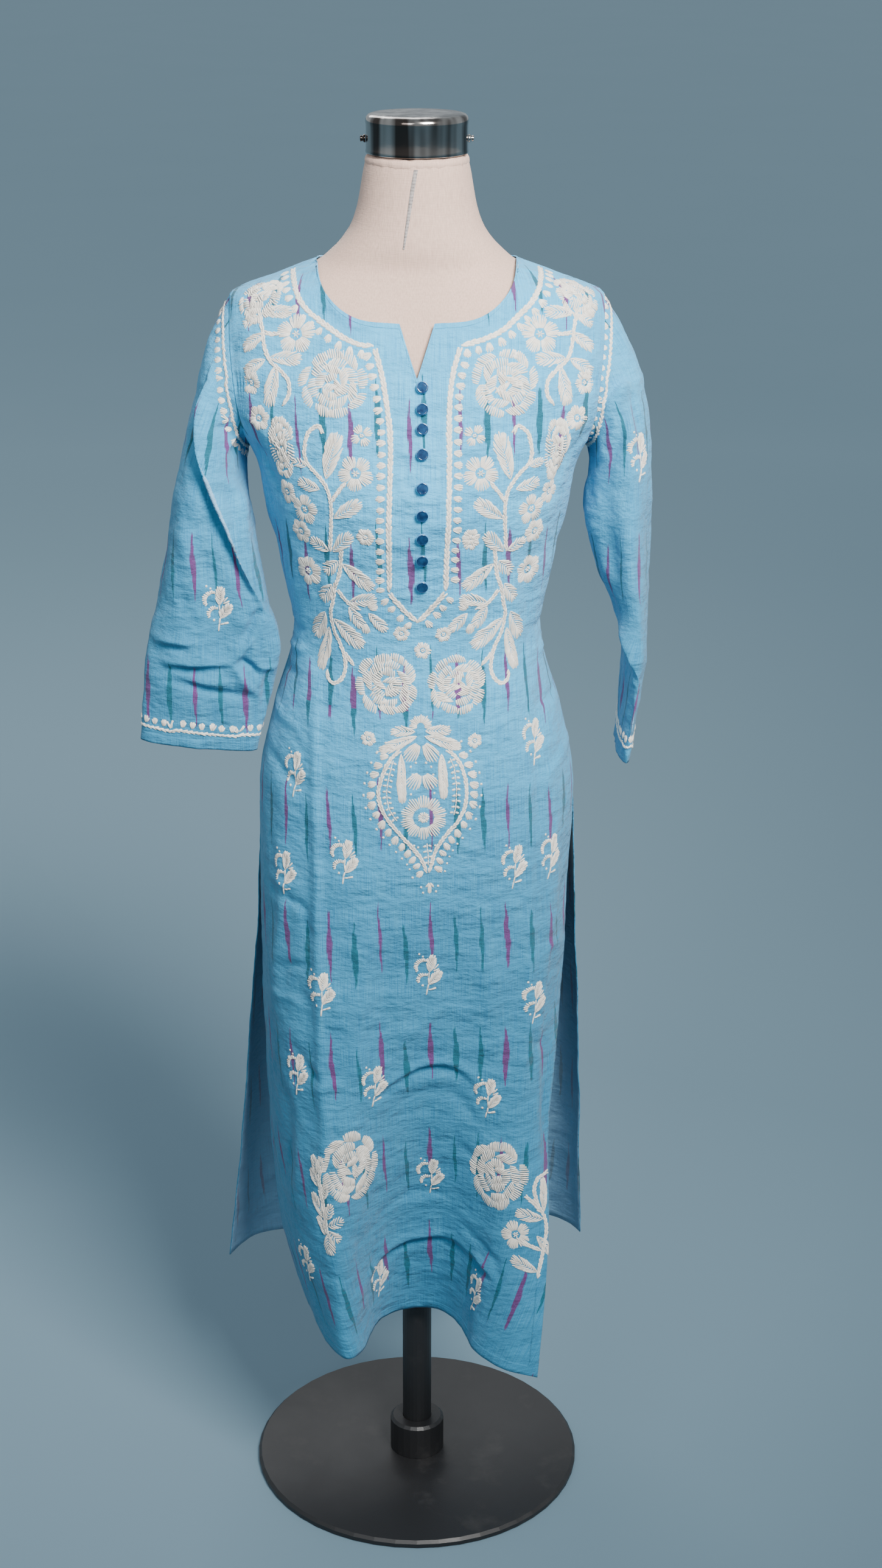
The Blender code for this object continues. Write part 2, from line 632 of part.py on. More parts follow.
def make_stand():
    top = FORM_BOTTOM_Z - SEAM_GAP
    foot = BASE_THICKNESS + SEAM_GAP
    edge = 0.003
    turned("base_plate", ((BASE_RADIUS - 0.001, 0.0), (BASE_RADIUS, 0.001),
                          (BASE_RADIUS, BASE_THICKNESS - edge),
                          (BASE_RADIUS - edge, BASE_THICKNESS)), 48, "black_metal", BLACK_METAL)
    turned("pole", ((POLE_RADIUS, foot), (POLE_RADIUS, top)), 24, "black_metal", BLACK_METAL)
    inner = POLE_RADIUS + SEAM_GAP
    collar = bmesh.new()
    profile = ((inner, foot), (COLLAR_RADIUS, foot), (COLLAR_RADIUS, foot + COLLAR_HEIGHT - edge),
               (COLLAR_RADIUS - edge, foot + COLLAR_HEIGHT), (inner, foot + COLLAR_HEIGHT))
    sides = 24
    rings = []
    for radius, height in profile:
        rings.append([collar.verts.new((radius * math.cos(k / sides * 2 * math.pi),
                                        radius * math.sin(k / sides * 2 * math.pi), height))
                      for k in range(sides)])
    for low, high in zip(rings, rings[1:] + rings[:1]):
        for c in range(sides):
            d = (c + 1) % sides
            collar.faces.new((low[c], low[d], high[d], high[c]))
    add_object("pole_collar", collar, "black_metal", BLACK_METAL)


def main():
    clear_scene()
    make_panel("kurti_front", -1)
    make_panel("kurti_back", 1)
    make_sleeve("sleeve_left", -1, (LEFT_SLEEVE, LEFT_FOLDS), LEFT_CUFF_Z)
    make_sleeve("sleeve_right", 1, (RIGHT_SLEEVE, RIGHT_FOLDS), RIGHT_CUFF_Z)
    make_buttons()
    make_form()
    make_neck_cap()
    make_stand()


main()
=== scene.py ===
# Kurti on a limbless dress form: cloth, needlework, buttons, cap, stand and studio.
# Metres, +Z up, the front faces -Y, the viewer's left is -X.
import math
import random

import bmesh
import bpy
import numpy as np
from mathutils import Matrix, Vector, noise
from mathutils.bvhtree import BVHTree


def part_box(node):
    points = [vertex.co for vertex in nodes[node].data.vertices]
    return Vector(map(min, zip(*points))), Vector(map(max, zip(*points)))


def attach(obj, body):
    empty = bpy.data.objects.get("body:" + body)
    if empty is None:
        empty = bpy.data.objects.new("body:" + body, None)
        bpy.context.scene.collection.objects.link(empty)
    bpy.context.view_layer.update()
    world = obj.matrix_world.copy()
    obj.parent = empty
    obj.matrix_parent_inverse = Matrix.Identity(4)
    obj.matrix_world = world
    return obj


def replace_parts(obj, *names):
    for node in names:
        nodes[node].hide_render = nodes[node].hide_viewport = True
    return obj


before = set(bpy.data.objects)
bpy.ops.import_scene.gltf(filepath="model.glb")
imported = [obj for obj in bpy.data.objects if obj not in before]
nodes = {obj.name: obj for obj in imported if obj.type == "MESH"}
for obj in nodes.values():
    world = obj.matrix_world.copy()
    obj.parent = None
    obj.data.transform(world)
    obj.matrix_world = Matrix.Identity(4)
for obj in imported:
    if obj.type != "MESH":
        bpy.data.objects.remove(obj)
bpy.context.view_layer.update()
print("frame loaded")

# The camera stands where the photo's did: a little above the shoulders, looking down.
viewpoint = {"place": (0.0, -2.5, 1.757), "downTilt": 20.7, "lens": 59.49, "sideShift": 0.0153}
cameraData = bpy.data.cameras.new("viewCamera")
cameraData.lens = viewpoint["lens"]
cameraData.shift_x = viewpoint["sideShift"]
cameraData.clip_end = 60
camera = bpy.data.objects.new("viewCamera", cameraData)
camera.location = viewpoint["place"]
camera.rotation_euler = (math.radians(90 - viewpoint["downTilt"]), 0, 0)
bpy.context.collection.objects.link(camera)
bpy.context.scene.camera = camera


# Shape of the garment, from the same sizes as the frame's solids
garment = {
    "hem": 0.210, "slitTop": 0.820, "bust": 1.135, "armpit": 1.170, "tip": 1.318,
    "neckPoint": 1.352, "vBottom": 1.254, "vCorner": (0.0165, 1.303), "backNeck": 1.333,
    "seamGap": 0.0003, "neckShare": 0.38, "tipShare": 0.56, "tipSwing": 0.6, "crowding": 1.4,
    "frontFoldPower": 1.5, "backFoldPower": 1.4, "wall": 0.0011,
    "seamSunk": 0.0007, "underarmSunk": 0.0008, "underarmWide": 0.002, "neckReach": 0.0965,
}
# Cloth on the form: height, half width, depth in front, depth behind, roundness
bodyRows = (
    (0.600, 0.158, 0.110, 0.116, 2.3), (0.820, 0.161, 0.119, 0.122, 2.3),
    (0.900, 0.146, 0.113, 0.112, 2.3), (0.985, 0.124, 0.102, 0.092, 2.3),
    (1.060, 0.136, 0.113, 0.095, 2.3), (1.135, 0.150, 0.126, 0.103, 2.4),
    (1.170, 0.161, 0.122, 0.106, 2.5), (1.200, 0.178, 0.116, 0.106, 2.5),
    (1.240, 0.190, 0.106, 0.102, 2.5), (1.280, 0.188, 0.092, 0.091, 2.4),
    (1.318, 0.180, 0.074, 0.072, 2.2), (1.335, 0.138, 0.067, 0.062, 2.1),
    (1.352, 0.096, 0.061, 0.054, 2.0),
)
armholeRows = ((1.170, 0.161), (1.185, 0.166), (1.205, 0.170), (1.240, 0.175), (1.280, 0.179),
               (1.318, 0.180))
frontNeckRows = ((0.0165, 1.303), (0.0500, 1.3055), (0.0700, 1.3135), (0.0850, 1.3270),
                 (0.0930, 1.3395), (0.0960, 1.3520))
# Front skirt without its folds: height, left edge, right edge, depth
frontSkirtRows = (
    (0.210, 0.240, 0.180, 0.128), (0.300, 0.228, 0.171, 0.130), (0.370, 0.205, 0.162, 0.130),
    (0.456, 0.188, 0.154, 0.129), (0.573, 0.175, 0.158, 0.126), (0.690, 0.167, 0.161, 0.122),
    (0.820, 0.161, 0.161, 0.119),
)
# Plans of both hems, left to right
frontHemPlan = (
    (-0.128, 0.008), (-0.103, -0.087), (-0.0765, -0.136), (-0.056, -0.117), (-0.045, -0.072),
    (-0.026, -0.045), (0.000, -0.036), (0.026, -0.042), (0.046, -0.072), (0.059, -0.117),
    (0.0896, -0.155), (0.126, -0.172),
)
backHemPlan = (
    (-0.214, 0.076), (-0.190, 0.118), (-0.150, 0.135), (-0.115, 0.118), (-0.080, 0.125),
    (-0.040, 0.155), (0.000, 0.150), (0.040, 0.128), (0.080, 0.135), (0.110, 0.165),
    (0.150, 0.168), (0.175, 0.150), (0.189, 0.126),
)
# Rows and columns of the cloth's grids
fineness = {"vColumns": 8, "neckColumns": 20, "shoulderColumns": 12, "armColumns": 26,
            "skirtRows": 186, "bodyRows": 100, "chestRows": 80, "sleeveTurns": 96,
            "capRows": 26, "sleeveRows": 150, "backStep": 2}


def curveThrough(rows, column, at):
    table = np.array(sorted(rows))
    x, y = table[:, 0], table[:, column]
    step, rise = np.diff(x), np.diff(y) / np.diff(x)
    slope = np.zeros(len(x))
    same = rise[1:] * rise[:-1] > 0
    weightA, weightB = 2 * step[1:] + step[:-1], step[1:] + 2 * step[:-1]
    safe = np.where(same, rise[1:] * rise[:-1], 1.0)
    mean = (weightA + weightB) * safe / (weightA * rise[1:] + weightB * rise[:-1] + 1e-30)
    slope[1:-1] = np.where(same, mean, 0.0)
    slope[0], slope[-1] = rise[0], rise[-1]
    at = np.clip(np.asarray(at, float), x[0], x[-1])
    k = np.clip(np.searchsorted(x, at, side="right") - 1, 0, len(x) - 2)
    t = (at - x[k]) / step[k]
    return ((1 + 2 * t) * (1 - t) ** 2 * y[k] + t * (1 - t) ** 2 * step[k] * slope[k]
            + t * t * (3 - 2 * t) * y[k + 1] + t * t * (t - 1) * step[k] * slope[k + 1])


def runAlong(points):
    # The way covered at each point from the first, for one line or for every column of a grid
    steps = np.linalg.norm(np.diff(points, axis=0), axis=-1)
    return np.concatenate((np.zeros((1, *steps.shape[1:])), np.cumsum(steps, axis=0)))


def shareOut(points, shares):
    points = np.asarray(points, float)
    run = runAlong(points)
    return np.stack([np.interp(np.asarray(shares) * run[-1], run, points[:, axis])
                     for axis in range(points.shape[1])], axis=1)


def smoothLine(points, steps=24):
    p = np.asarray(points, float)
    if len(p) < 3:
        return shareOut(p, np.linspace(0, 1, steps + 1))
    p = np.vstack((2 * p[0] - p[1], p, 2 * p[-1] - p[-2]))
    line = []
    for k in range(1, len(p) - 2):
        for t in np.arange(steps) / steps:
            line.append(0.5 * (2 * p[k] + (p[k + 1] - p[k - 1]) * t
                               + (2 * p[k - 1] - 5 * p[k] + 4 * p[k + 1] - p[k + 2]) * t ** 2
                               + (3 * p[k] - p[k - 1] - 3 * p[k + 1] + p[k + 2]) * t ** 3))
    line.append(p[-2])
    return np.array(line)


def bodyDepth(x, z, side):
    reach, rounded = curveThrough(bodyRows, 1, z), curveThrough(bodyRows, 4, z)
    depth = curveThrough(bodyRows, 2 if side < 0 else 3, z)
    left = np.clip(1 - (np.abs(x) / reach) ** rounded, 0, None)
    return side * depth * left ** (1 / rounded)


def halfSection(left, right, depth, roundness, side):
    turn = np.linspace(-math.pi / 2, math.pi / 2, 241)
    sine, cosine = np.sin(turn), np.clip(np.cos(turn), 0, None)
    width = np.where(sine < 0, left, right)
    x = width * np.sign(sine) * np.abs(sine) ** (2 / roundness)
    return np.stack((x, side * depth * cosine ** (2 / roundness)), axis=1)


def columnShares():
    vShare = 0.09
    neckShare, tipShare = garment["neckShare"], garment["tipShare"]
    return np.concatenate((
        np.linspace(0, vShare, fineness["vColumns"] + 1)[:-1],
        np.linspace(vShare, neckShare, fineness["neckColumns"] + 1)[:-1],
        np.linspace(neckShare, tipShare, fineness["shoulderColumns"] + 1)[:-1],
        np.linspace(tipShare, 1, fineness["armColumns"] + 1)))


def columnSwing():
    swing = garment["tipSwing"]
    return np.concatenate((
        np.zeros(fineness["vColumns"] + fineness["neckColumns"]),
        np.linspace(0, swing, fineness["shoulderColumns"] + 1)[:-1],
        np.sin(np.linspace(math.asin(swing), math.pi, fineness["armColumns"] + 1))))


def armholeLine(count):
    turn = np.linspace(0, math.pi, count + 1)
    tip, armpit = garment["tip"], garment["armpit"]
    z = (tip + armpit) / 2 + (tip - armpit) / 2 * np.cos(turn)
    x = curveThrough(armholeRows, 1, z)
    x[0], x[-1] = curveThrough(bodyRows, 1, z[[0, -1]])
    return np.stack((x, z), axis=1)


def topEdge(side):
    count = fineness["neckColumns"]
    neckPoint = garment["neckPoint"]
    if side < 0:
        middle = np.linspace((0.0, garment["vBottom"]), garment["vCorner"],
                             fineness["vColumns"] + 1)[:-1]
        line = smoothLine(frontNeckRows)
    else:
        middle = np.empty((0, 2))
        x = np.linspace(0, curveThrough(bodyRows, 1, neckPoint), 80)
        rise = (neckPoint - garment["backNeck"]) * (x / x[-1]) ** 2.6
        line = np.stack((x, garment["backNeck"] + rise), axis=1)
        count += fineness["vColumns"]
    roundNeck = np.column_stack((line, bodyDepth(line[:, 0], line[:, 1], side)))
    neck = shareOut(roundNeck, np.arange(count) / count)[:, :2]
    z = np.linspace(neckPoint, garment["tip"], fineness["shoulderColumns"] + 1)[:-1]
    shoulder = np.stack((curveThrough(bodyRows, 1, z), z), axis=1)
    return np.vstack((middle, neck, shoulder, armholeLine(fineness["armColumns"])))


def skirtRow(z, side, shares):
    down = (garment["slitTop"] - z) / (garment["slitTop"] - garment["hem"])
    if side < 0:
        plain = halfSection(curveThrough(frontSkirtRows, 1, z), curveThrough(frontSkirtRows, 2, z),
                            curveThrough(frontSkirtRows, 3, z), 2.3 + 0.9 * down, side)
        hem, power = frontHemPlan, garment["frontFoldPower"]
    else:
        plain = halfSection(0.161, 0.161 + 0.012 * down, 0.122, 2.3, side)
        hem, power = backHemPlan, garment["backFoldPower"]
    fold = down ** power
    return (1 - fold) * shareOut(plain, shares) + fold * shareOut(smoothLine(hem), shares)


def panelGrid(side):
    half = columnShares()
    shares = np.concatenate((0.5 - half[:0:-1] / 2, 0.5 + half / 2))
    rows = []
    for z in np.linspace(garment["hem"], garment["slitTop"], fineness["skirtRows"] + 1)[:-1]:
        plan = skirtRow(z, side, shares)
        rows.append(np.column_stack((plan, np.full(len(plan), z))))
    for z in np.linspace(garment["slitTop"], garment["bust"], fineness["bodyRows"] + 1):
        reach, rounded = curveThrough(bodyRows, 1, z), curveThrough(bodyRows, 4, z)
        depth = curveThrough(bodyRows, 2 if side < 0 else 3, z)
        plan = shareOut(halfSection(reach, reach, depth, rounded, side), shares)
        rows.append(np.column_stack((plan, np.full(len(plan), z))))
    low = rows[-1]
    edge = topEdge(side)
    edge = np.vstack((edge[:0:-1] * (-1, 1), edge))
    reachLow = float(curveThrough(bodyRows, 1, garment["bust"]))
    reachTop = curveThrough(bodyRows, 1, edge[:, 1])
    distance = np.concatenate((half[:0:-1], half))
    nearSide = np.clip((distance - garment["tipShare"]) / (1 - garment["tipShare"]), 0, 1)
    turn = np.linspace(0, math.pi / 2, 161)[:, None]
    z = garment["bust"] + (edge[:, 1] - garment["bust"]) * np.sin(turn)
    swing = columnSwing()
    swing = np.concatenate((swing[:0:-1], swing))
    t = np.sin(turn) * (1 - swing) + (1 - np.cos(turn)) * swing
    straight = low[:, 0] + (edge[:, 0] - low[:, 0]) * t
    ratio = low[:, 0] / reachLow * (1 - t) + edge[:, 0] / reachTop * t
    x = straight * (1 - nearSide) + ratio * curveThrough(bodyRows, 1, z) * nearSide
    columns = np.stack((x, bodyDepth(x, z, side), z), axis=2)
    count = fineness["chestRows"]
    up = 1 - (1 - np.arange(1, count + 1) / count) ** garment["crowding"]
    chest = np.stack([shareOut(columns[:, c], up) for c in range(len(edge))], axis=1)
    grid = np.concatenate((np.array(rows), chest))
    seam = np.zeros(grid.shape[:2], bool)
    seam[fineness["skirtRows"]:, [0, -1]] = True
    seam[-1] = np.abs(grid[-1, :, 1]) < 1e-4
    grid[..., 1] = np.where(seam, side * garment["seamGap"] / 2, grid[..., 1])
    return grid


def gridNormals(grid, around=False):
    if around:
        across = np.roll(grid, -1, axis=1) - np.roll(grid, 1, axis=1)
    else:
        across = np.gradient(grid, axis=1)
    normals = np.cross(across, np.gradient(grid, axis=0))
    return normals / np.maximum(np.linalg.norm(normals, axis=2, keepdims=True), 1e-12)


def bodyNormal(points):
    points = np.asarray(points, float)
    x, y, z = points.T
    behind = y > 0

    def level(x, y, z):
        reach, rounded = curveThrough(bodyRows, 1, z), curveThrough(bodyRows, 4, z)
        depth = np.where(behind, curveThrough(bodyRows, 3, z), curveThrough(bodyRows, 2, z))
        return (np.abs(x) / reach) ** rounded + (np.abs(y) / depth) ** rounded

    d = 1e-4
    slope = np.stack((level(x + d, y, z) - level(x - d, y, z),
                      np.where(np.abs(y) > 2 * d, level(x, y + d, z) - level(x, y - d, z), 0),
                      level(x, y, z + d) - level(x, y, z - d)), axis=1)
    return slope / np.linalg.norm(slope, axis=1, keepdims=True)


def nearPath(places, path):
    # Off a path in millimetres, for places in metres: how far, how much its ends fade, whether
    # on its left hand, its heading
    line = smoothLine(np.reshape(path, (-1, 2)) / 1000, 5)
    run = runAlong(line)
    near = np.full(len(places), 9.0)
    along = np.zeros(len(places))
    leftHand = np.zeros(len(places), bool)
    heading = np.zeros((len(places), 2))
    for a, b, start in zip(line, line[1:], run):
        d = b - a
        away = places - a
        t = np.clip(away @ d / (d @ d), 0, 1)
        off = np.linalg.norm(away - t[:, None] * d, axis=1)
        closer = off < near
        near[closer] = off[closer]
        along[closer] = (start + t * np.linalg.norm(d))[closer] / run[-1]
        leftHand[closer] = (d[0] * away[:, 1] - d[1] * away[:, 0])[closer] > 0
        heading[closer] = d / np.linalg.norm(d)
    fade = np.clip(np.sin(math.pi * np.clip(along, 0.02, 0.98)), 0, 1) ** 0.6
    return near, fade, leftHand, heading


def creaseRelief(places, creases):
    # Soft troughs and ridges. Millimetres: a half width, a height, how many times wider the
    # gentle side runs out (the path's left hand, or its right hand below zero), then x across
    # and z up along the path.
    relief = np.zeros(len(places))
    for width, height, lee, *path in creases:
        near, fade, leftHand, _ = nearPath(places, path)
        gentle = leftHand if lee > 0 else ~leftHand
        spread = width / 1000 * np.where(gentle, max(abs(lee), 1), 1)
        relief += height / 1000 * np.exp(-(near / spread) ** 2) * fade
    return relief


def tuckOver(places, creases, tucks):
    # Sideways shift where cloth folds over a crease. Millimetres: the crease's number, how wide,
    # and how far the cloth on its left hand laps across it, or on its right hand below zero.
    shift = np.zeros((len(places), 3))
    for number, width, reach in tucks:
        near, fade, leftHand, heading = nearPath(places, creases[number][3:])
        over = (leftHand if reach > 0 else ~leftHand) * fade
        far = (reach / 1000 * np.exp(-(near * 1000 / width) ** 2)
               + math.copysign(1, reach) * near * np.exp(-(near / 0.0026) ** 2))
        shift[:, 0] += far * over * heading[:, 1]
        shift[:, 2] -= far * over * heading[:, 0]
    return shift


def insetLine(grid, distance):
    # A line over the grid that keeps its distance from the first row
    run = runAlong(grid)
    return [Vector([np.interp(distance, run[:, c], grid[:, c, k]) for k in range(3)])
            for c in range(grid.shape[1])]


pieces = []


def addPiece(name, points, faces, material=None, slot=None, layers=()):
    mesh = bpy.data.meshes.new(name)
    mesh.from_pydata(np.reshape(points, (-1, 3)).tolist(), [], faces)
    for layer, uv in layers:
        mesh.uv_layers.new(name=layer).data.foreach_set("uv", uv.reshape(-1).astype(np.float32))
    mesh.shade_smooth()
    thing = bpy.data.objects.new(name, mesh)
    bpy.context.collection.objects.link(thing)
    pieces.append(thing)
    if material:
        mesh.materials.append(material)
    return thing


def gridFaces(rows, columns, around=False):
    index = np.arange(rows * columns).reshape(rows, columns)
    right = np.roll(index, -1, axis=1) if around else index[:, 1:]
    left = index if around else index[:, :-1]
    return np.stack((left[:-1], right[:-1], right[1:], left[1:]), axis=2).reshape(-1, 4)


def clothPiece(name, grid, uv, edgeWay, around=False):
    # A sheet from a grid of points, with its flat cut in metres and the way from its free
    # edges, and a tree to find places on it
    faces = gridFaces(*grid.shape[:2], around)
    flat = uv.reshape(-1, 2)[faces]
    if around:  # the last column's right hand side goes on round the tube
        lap = flat[:, :, 0].max(axis=1) - flat[:, :, 0].min(axis=1) > 0.1
        for k in (1, 2):
            flat[lap, k, 0] = 2 * flat[lap, 0, 0] - uv.reshape(-1, 2)[faces[lap, 0] - 1, 0]
    way = np.stack((edgeWay, edgeWay), axis=2).reshape(-1, 2)[faces]
    sheet = addPiece(name, grid, faces.tolist(), layers=(("flatCut", flat), ("edgeWay", way)))
    shell = sheet.modifiers.new("clothThickness", "SOLIDIFY")
    shell.thickness, shell.offset = garment["wall"], -1
    return sheet, BVHTree.FromPolygons(grid.reshape(-1, 3).tolist(), faces.tolist())


# The front and back panels, with creases laid where the photo shows them
frontPanel = {
    "creases": (
        # millimetres: half width, height, gentle side, then x and z along the path
        (4.2, 3.2, 1, -54, 273, -44, 295, -18, 311, 19, 317, 44, 315, 61, 302),
        (5, -3.6, 1, -50, 264, -40, 286, -16, 302, 19, 308, 44, 305, 60, 292),
        (6, -2.2, 1, -33, 363, -14, 371, 13, 375, 36, 369),
        (4.2, 3.4, 1, -43, 515, -21, 528, 2, 540, 24, 543, 42, 537, 59, 523, 76, 493),
        (4.8, -3.6, 1, -40, 507, -19, 520, 3, 532, 24, 535, 41, 529, 56, 515),
        (5.5, -2.8, 1, -21, 494, 2, 504, 28, 506, 46, 495, 59, 473, 76, 468),
        (6, 1.8, 1, -17, 578, 9, 591, 27, 606, 49, 609),
        (5, 2.6, 1, -105, 520, -85, 530, -65, 522),
        (5, -3.2, 1, -124, 557, -111, 540, -94, 527),
        (4.5, -3.2, 1, -146, 722, -129, 719, -114, 714, -112, 674),
        (4.5, 2.6, 1, -146, 738, -128, 735, -112, 744),
        (4.5, -3, 1, -146, 636, -126, 650, -102, 657),
        (5, 2.4, 1, -150, 606, -132, 612, -108, 606),
        (4, 2.4, 1, 127, 664, 137, 665, 152, 652),
        (5, -2.8, 1, 116, 563, 129, 555, 141, 544),
        (5, -2.2, 1, 39, 442, 52, 431, 62, 420),
        (3.5, 3.6, 1, 59, 312, 68, 304, 77, 300),
        (3.8, -3.6, 1, 56, 304, 66, 296, 77, 290),
        (5.5, -3, 1, 44, 343, 62, 326, 81, 315, 88, 288),
        (6, -2.6, 1, -80, 360, -62, 345, -58, 310, -66, 270),
        # pressed fold lines down both sides
        (4, 6.2, -7, -100, 950, -100, 791, -98.5, 701, -98, 609, -96, 523, -93, 471, -103, 397,
         -108, 330),
        (7, -5, -2.4, -109, 950, -110, 791, -109, 701, -109, 609, -107, 523, -106, 471, -114,
         397),
        (6, -6, 1.5, 152, 800, 152, 710, 142, 642, 136, 552, 137, 461, 146, 360),
        (4.5, 4.2, -5, 140, 800, 140, 710, 131, 642, 125, 552, 126, 461, 134, 360),
        (6, 2.2, 1, 112, 788, 114, 670, 112, 566, 106, 485),
        (6, -2.4, 1, 120, 930, 122, 860, 121, 790),
        (5.5, 2.8, 1, -139, 800, -137, 704, -145, 648, -143, 590),
        (7, -3, 1, -150, 530, -134, 480, -136, 420, -150, 370),
        (6, 2.6, 1, -128, 470, -124, 420, -132, 360),
        (6, 2.4, 1, 150, 420, 158, 380, 156, 320),
        # wide soft waves down the middle
        (13, 2.6, 1, -52, 740, -58, 660, -62, 580, -58, 500),
        (11, -2, 1, -30, 700, -34, 620, -30, 560),
        (12, -2, 1, 30, 720, 34, 650, 30, 580),
        (13, 2.6, 1, 60, 720, 72, 640, 74, 560),
        (15, -2.6, 1, 0, 470, 4, 420, 0, 360),
        # waist and bust
        (4.2, -3, 1, -150, 1000, -130, 992, -108, 996),
        (4.2, 2.8, 1, -150, 978, -128, 971, -106, 977),
        (4.2, -2.8, 1, -152, 955, -132, 948, -116, 950),
        (5, 2.4, 1, -148, 915, -134, 905, -112, 900),
        (5, -2.8, 1, -150, 870, -132, 852, -112, 842),
        (4.2, -3, 1, 150, 1004, 128, 994, 108, 1000),
        (4.5, 2.6, 1, 150, 974, 130, 968, 112, 974),
        (5, -2.4, 1, 150, 930, 134, 922, 118, 928),
        (5, 2.4, 1, 156, 880, 142, 860, 126, 850),
        (4.5, -3.6, 1, -172, 1195, -158, 1186, -140, 1160, -128, 1130),
        (4.5, 3, 1, -174, 1212, -156, 1208, -140, 1196),
        (4.2, -2.4, 1, -178, 1238, -164, 1244, -150, 1238),
        (5, 3, 1, -152, 1150, -144, 1120, -142, 1080),
        (4.5, -3.6, 1, 172, 1195, 158, 1188, 140, 1166, 128, 1136),
        (4.5, 3, 1, 174, 1214, 156, 1210, 142, 1200),
        (4.2, -2.4, 1, 178, 1240, 164, 1248, 150, 1240),
        (5, 3, 1, 152, 1146, 144, 1116, 142, 1080),
        (6, 2, 1, -112, 1080, -104, 1060, -106, 1030),
        (6, -2, 1, 114, 1080, 106, 1056, 108, 1026),
        (6, 1.2, 1, -60, 1236, -50, 1215, -46, 1190),
        (6, 1.2, 1, 60, 1238, 52, 1215, 48, 1186),
        # the neck edge lifts a little beside the notch
        (5, 1.2, 1, -90, 1330, -70, 1309, -45, 1301),
        (5, 1.2, 1, 88, 1328, 68, 1307, 45, 1300),
    ),
    "puckers": 17, "puckerHeight": 1.4, "seed": 5,
    "lap": {"left": 0.0004, "right": 0.0310, "low": 1.036, "high": 0.0009},
}
backPanel = {
    "creases": (
        (8, 2.8, 1, -60, 980, -66, 800, -70, 620, -80, 450),
        (8, -3, 1, -74, 960, -82, 800, -88, 600),
        (8, 2.8, 1, 70, 960, 78, 800, 86, 620, 92, 450),
        (8, -3, 1, 85, 940, 95, 780, 103, 600),
        (11, -2, 1, 0, 920, 4, 780, -6, 620),
        (9, 3, 1, -140, 780, -150, 640, -166, 480, -176, 330),
        (10, -3, 1, -118, 700, -128, 560, -140, 400),
        (9, 3, 1, 140, 740, 150, 600, 160, 440, 164, 330),
        (10, -3, 1, 120, 700, 130, 540, 138, 400),
        (6, -2.6, 1, -30, 520, 10, 534, 52, 522),
        (6, 2.6, 1, -40, 400, 0, 412, 44, 404),
        (5, -2.8, 1, -140, 1000, -100, 990, -50, 996),
        (5, 2.6, 1, -136, 974, -90, 966, -40, 972),
        (5, -2.8, 1, 140, 1002, 100, 990, 45, 998),
        (5, 2.4, 1, 136, 972, 90, 964, 50, 972),
        (5, 1.8, 1, 40, 1020, 0, 1014, -50, 1022),
        (6, -3.4, 1, -172, 1200, -150, 1190, -120, 1160),
        (6, 2.8, 1, -174, 1228, -146, 1222, -110, 1200),
        (6, -3.4, 1, 172, 1202, 150, 1192, 124, 1164),
        (6, 2.8, 1, 174, 1230, 148, 1226, 112, 1206),
        (6, 1.6, 1, -120, 1290, -80, 1300, -40, 1302),
        (6, 1.6, 1, 120, 1290, 80, 1300, 40, 1302),
    ),
    "puckers": 0, "puckerHeight": 0, "seed": 8,
}


def panelFlat(grid):
    # Across: the way along the level section from the middle; up: the way up the cloth
    run = runAlong(np.swapaxes(grid, 0, 1)).T
    middle = grid.shape[1] // 2
    side = -1 if grid[0, middle, 1] < 0 else 1
    upper = fineness["skirtRows"] + fineness["bodyRows"] + 1
    zero = [np.interp(0.0, row[:, 0], way) for row, way in zip(grid[:upper], run[:upper])]
    across = run.copy()
    across[:upper] -= np.array(zero)[:, None]
    chest = grid[upper:]
    x = chest[None, ..., 0] * np.linspace(0, 1, 40)[:, None, None]
    y = bodyDepth(x, np.broadcast_to(chest[None, ..., 2], x.shape), side)
    steps = np.hypot(np.diff(x, axis=0), np.diff(y, axis=0)).sum(axis=0)
    across[upper:] = np.sign(np.arange(grid.shape[1]) - middle) * steps
    up = runAlong(grid[..., 1:])
    up += garment["slitTop"] - up[fineness["skirtRows"]]
    return np.stack((across, up), axis=2)


# Small lumps of cloth that doesn't lie flat: size, height
lumps = {"panel": (0.030, 0.0016), "panelFine": (0.010, 0.00055),
         "sleeve": (0.022, 0.0020), "sleeveFine": (0.009, 0.0006)}


def unevenness(points, kind, seed):
    size, height = lumps[kind]
    shift = Vector((seed * 3.1, seed * 1.7, seed * 2.3))
    return height * np.array([noise.noise(Vector(p) / size + shift) for p in points])


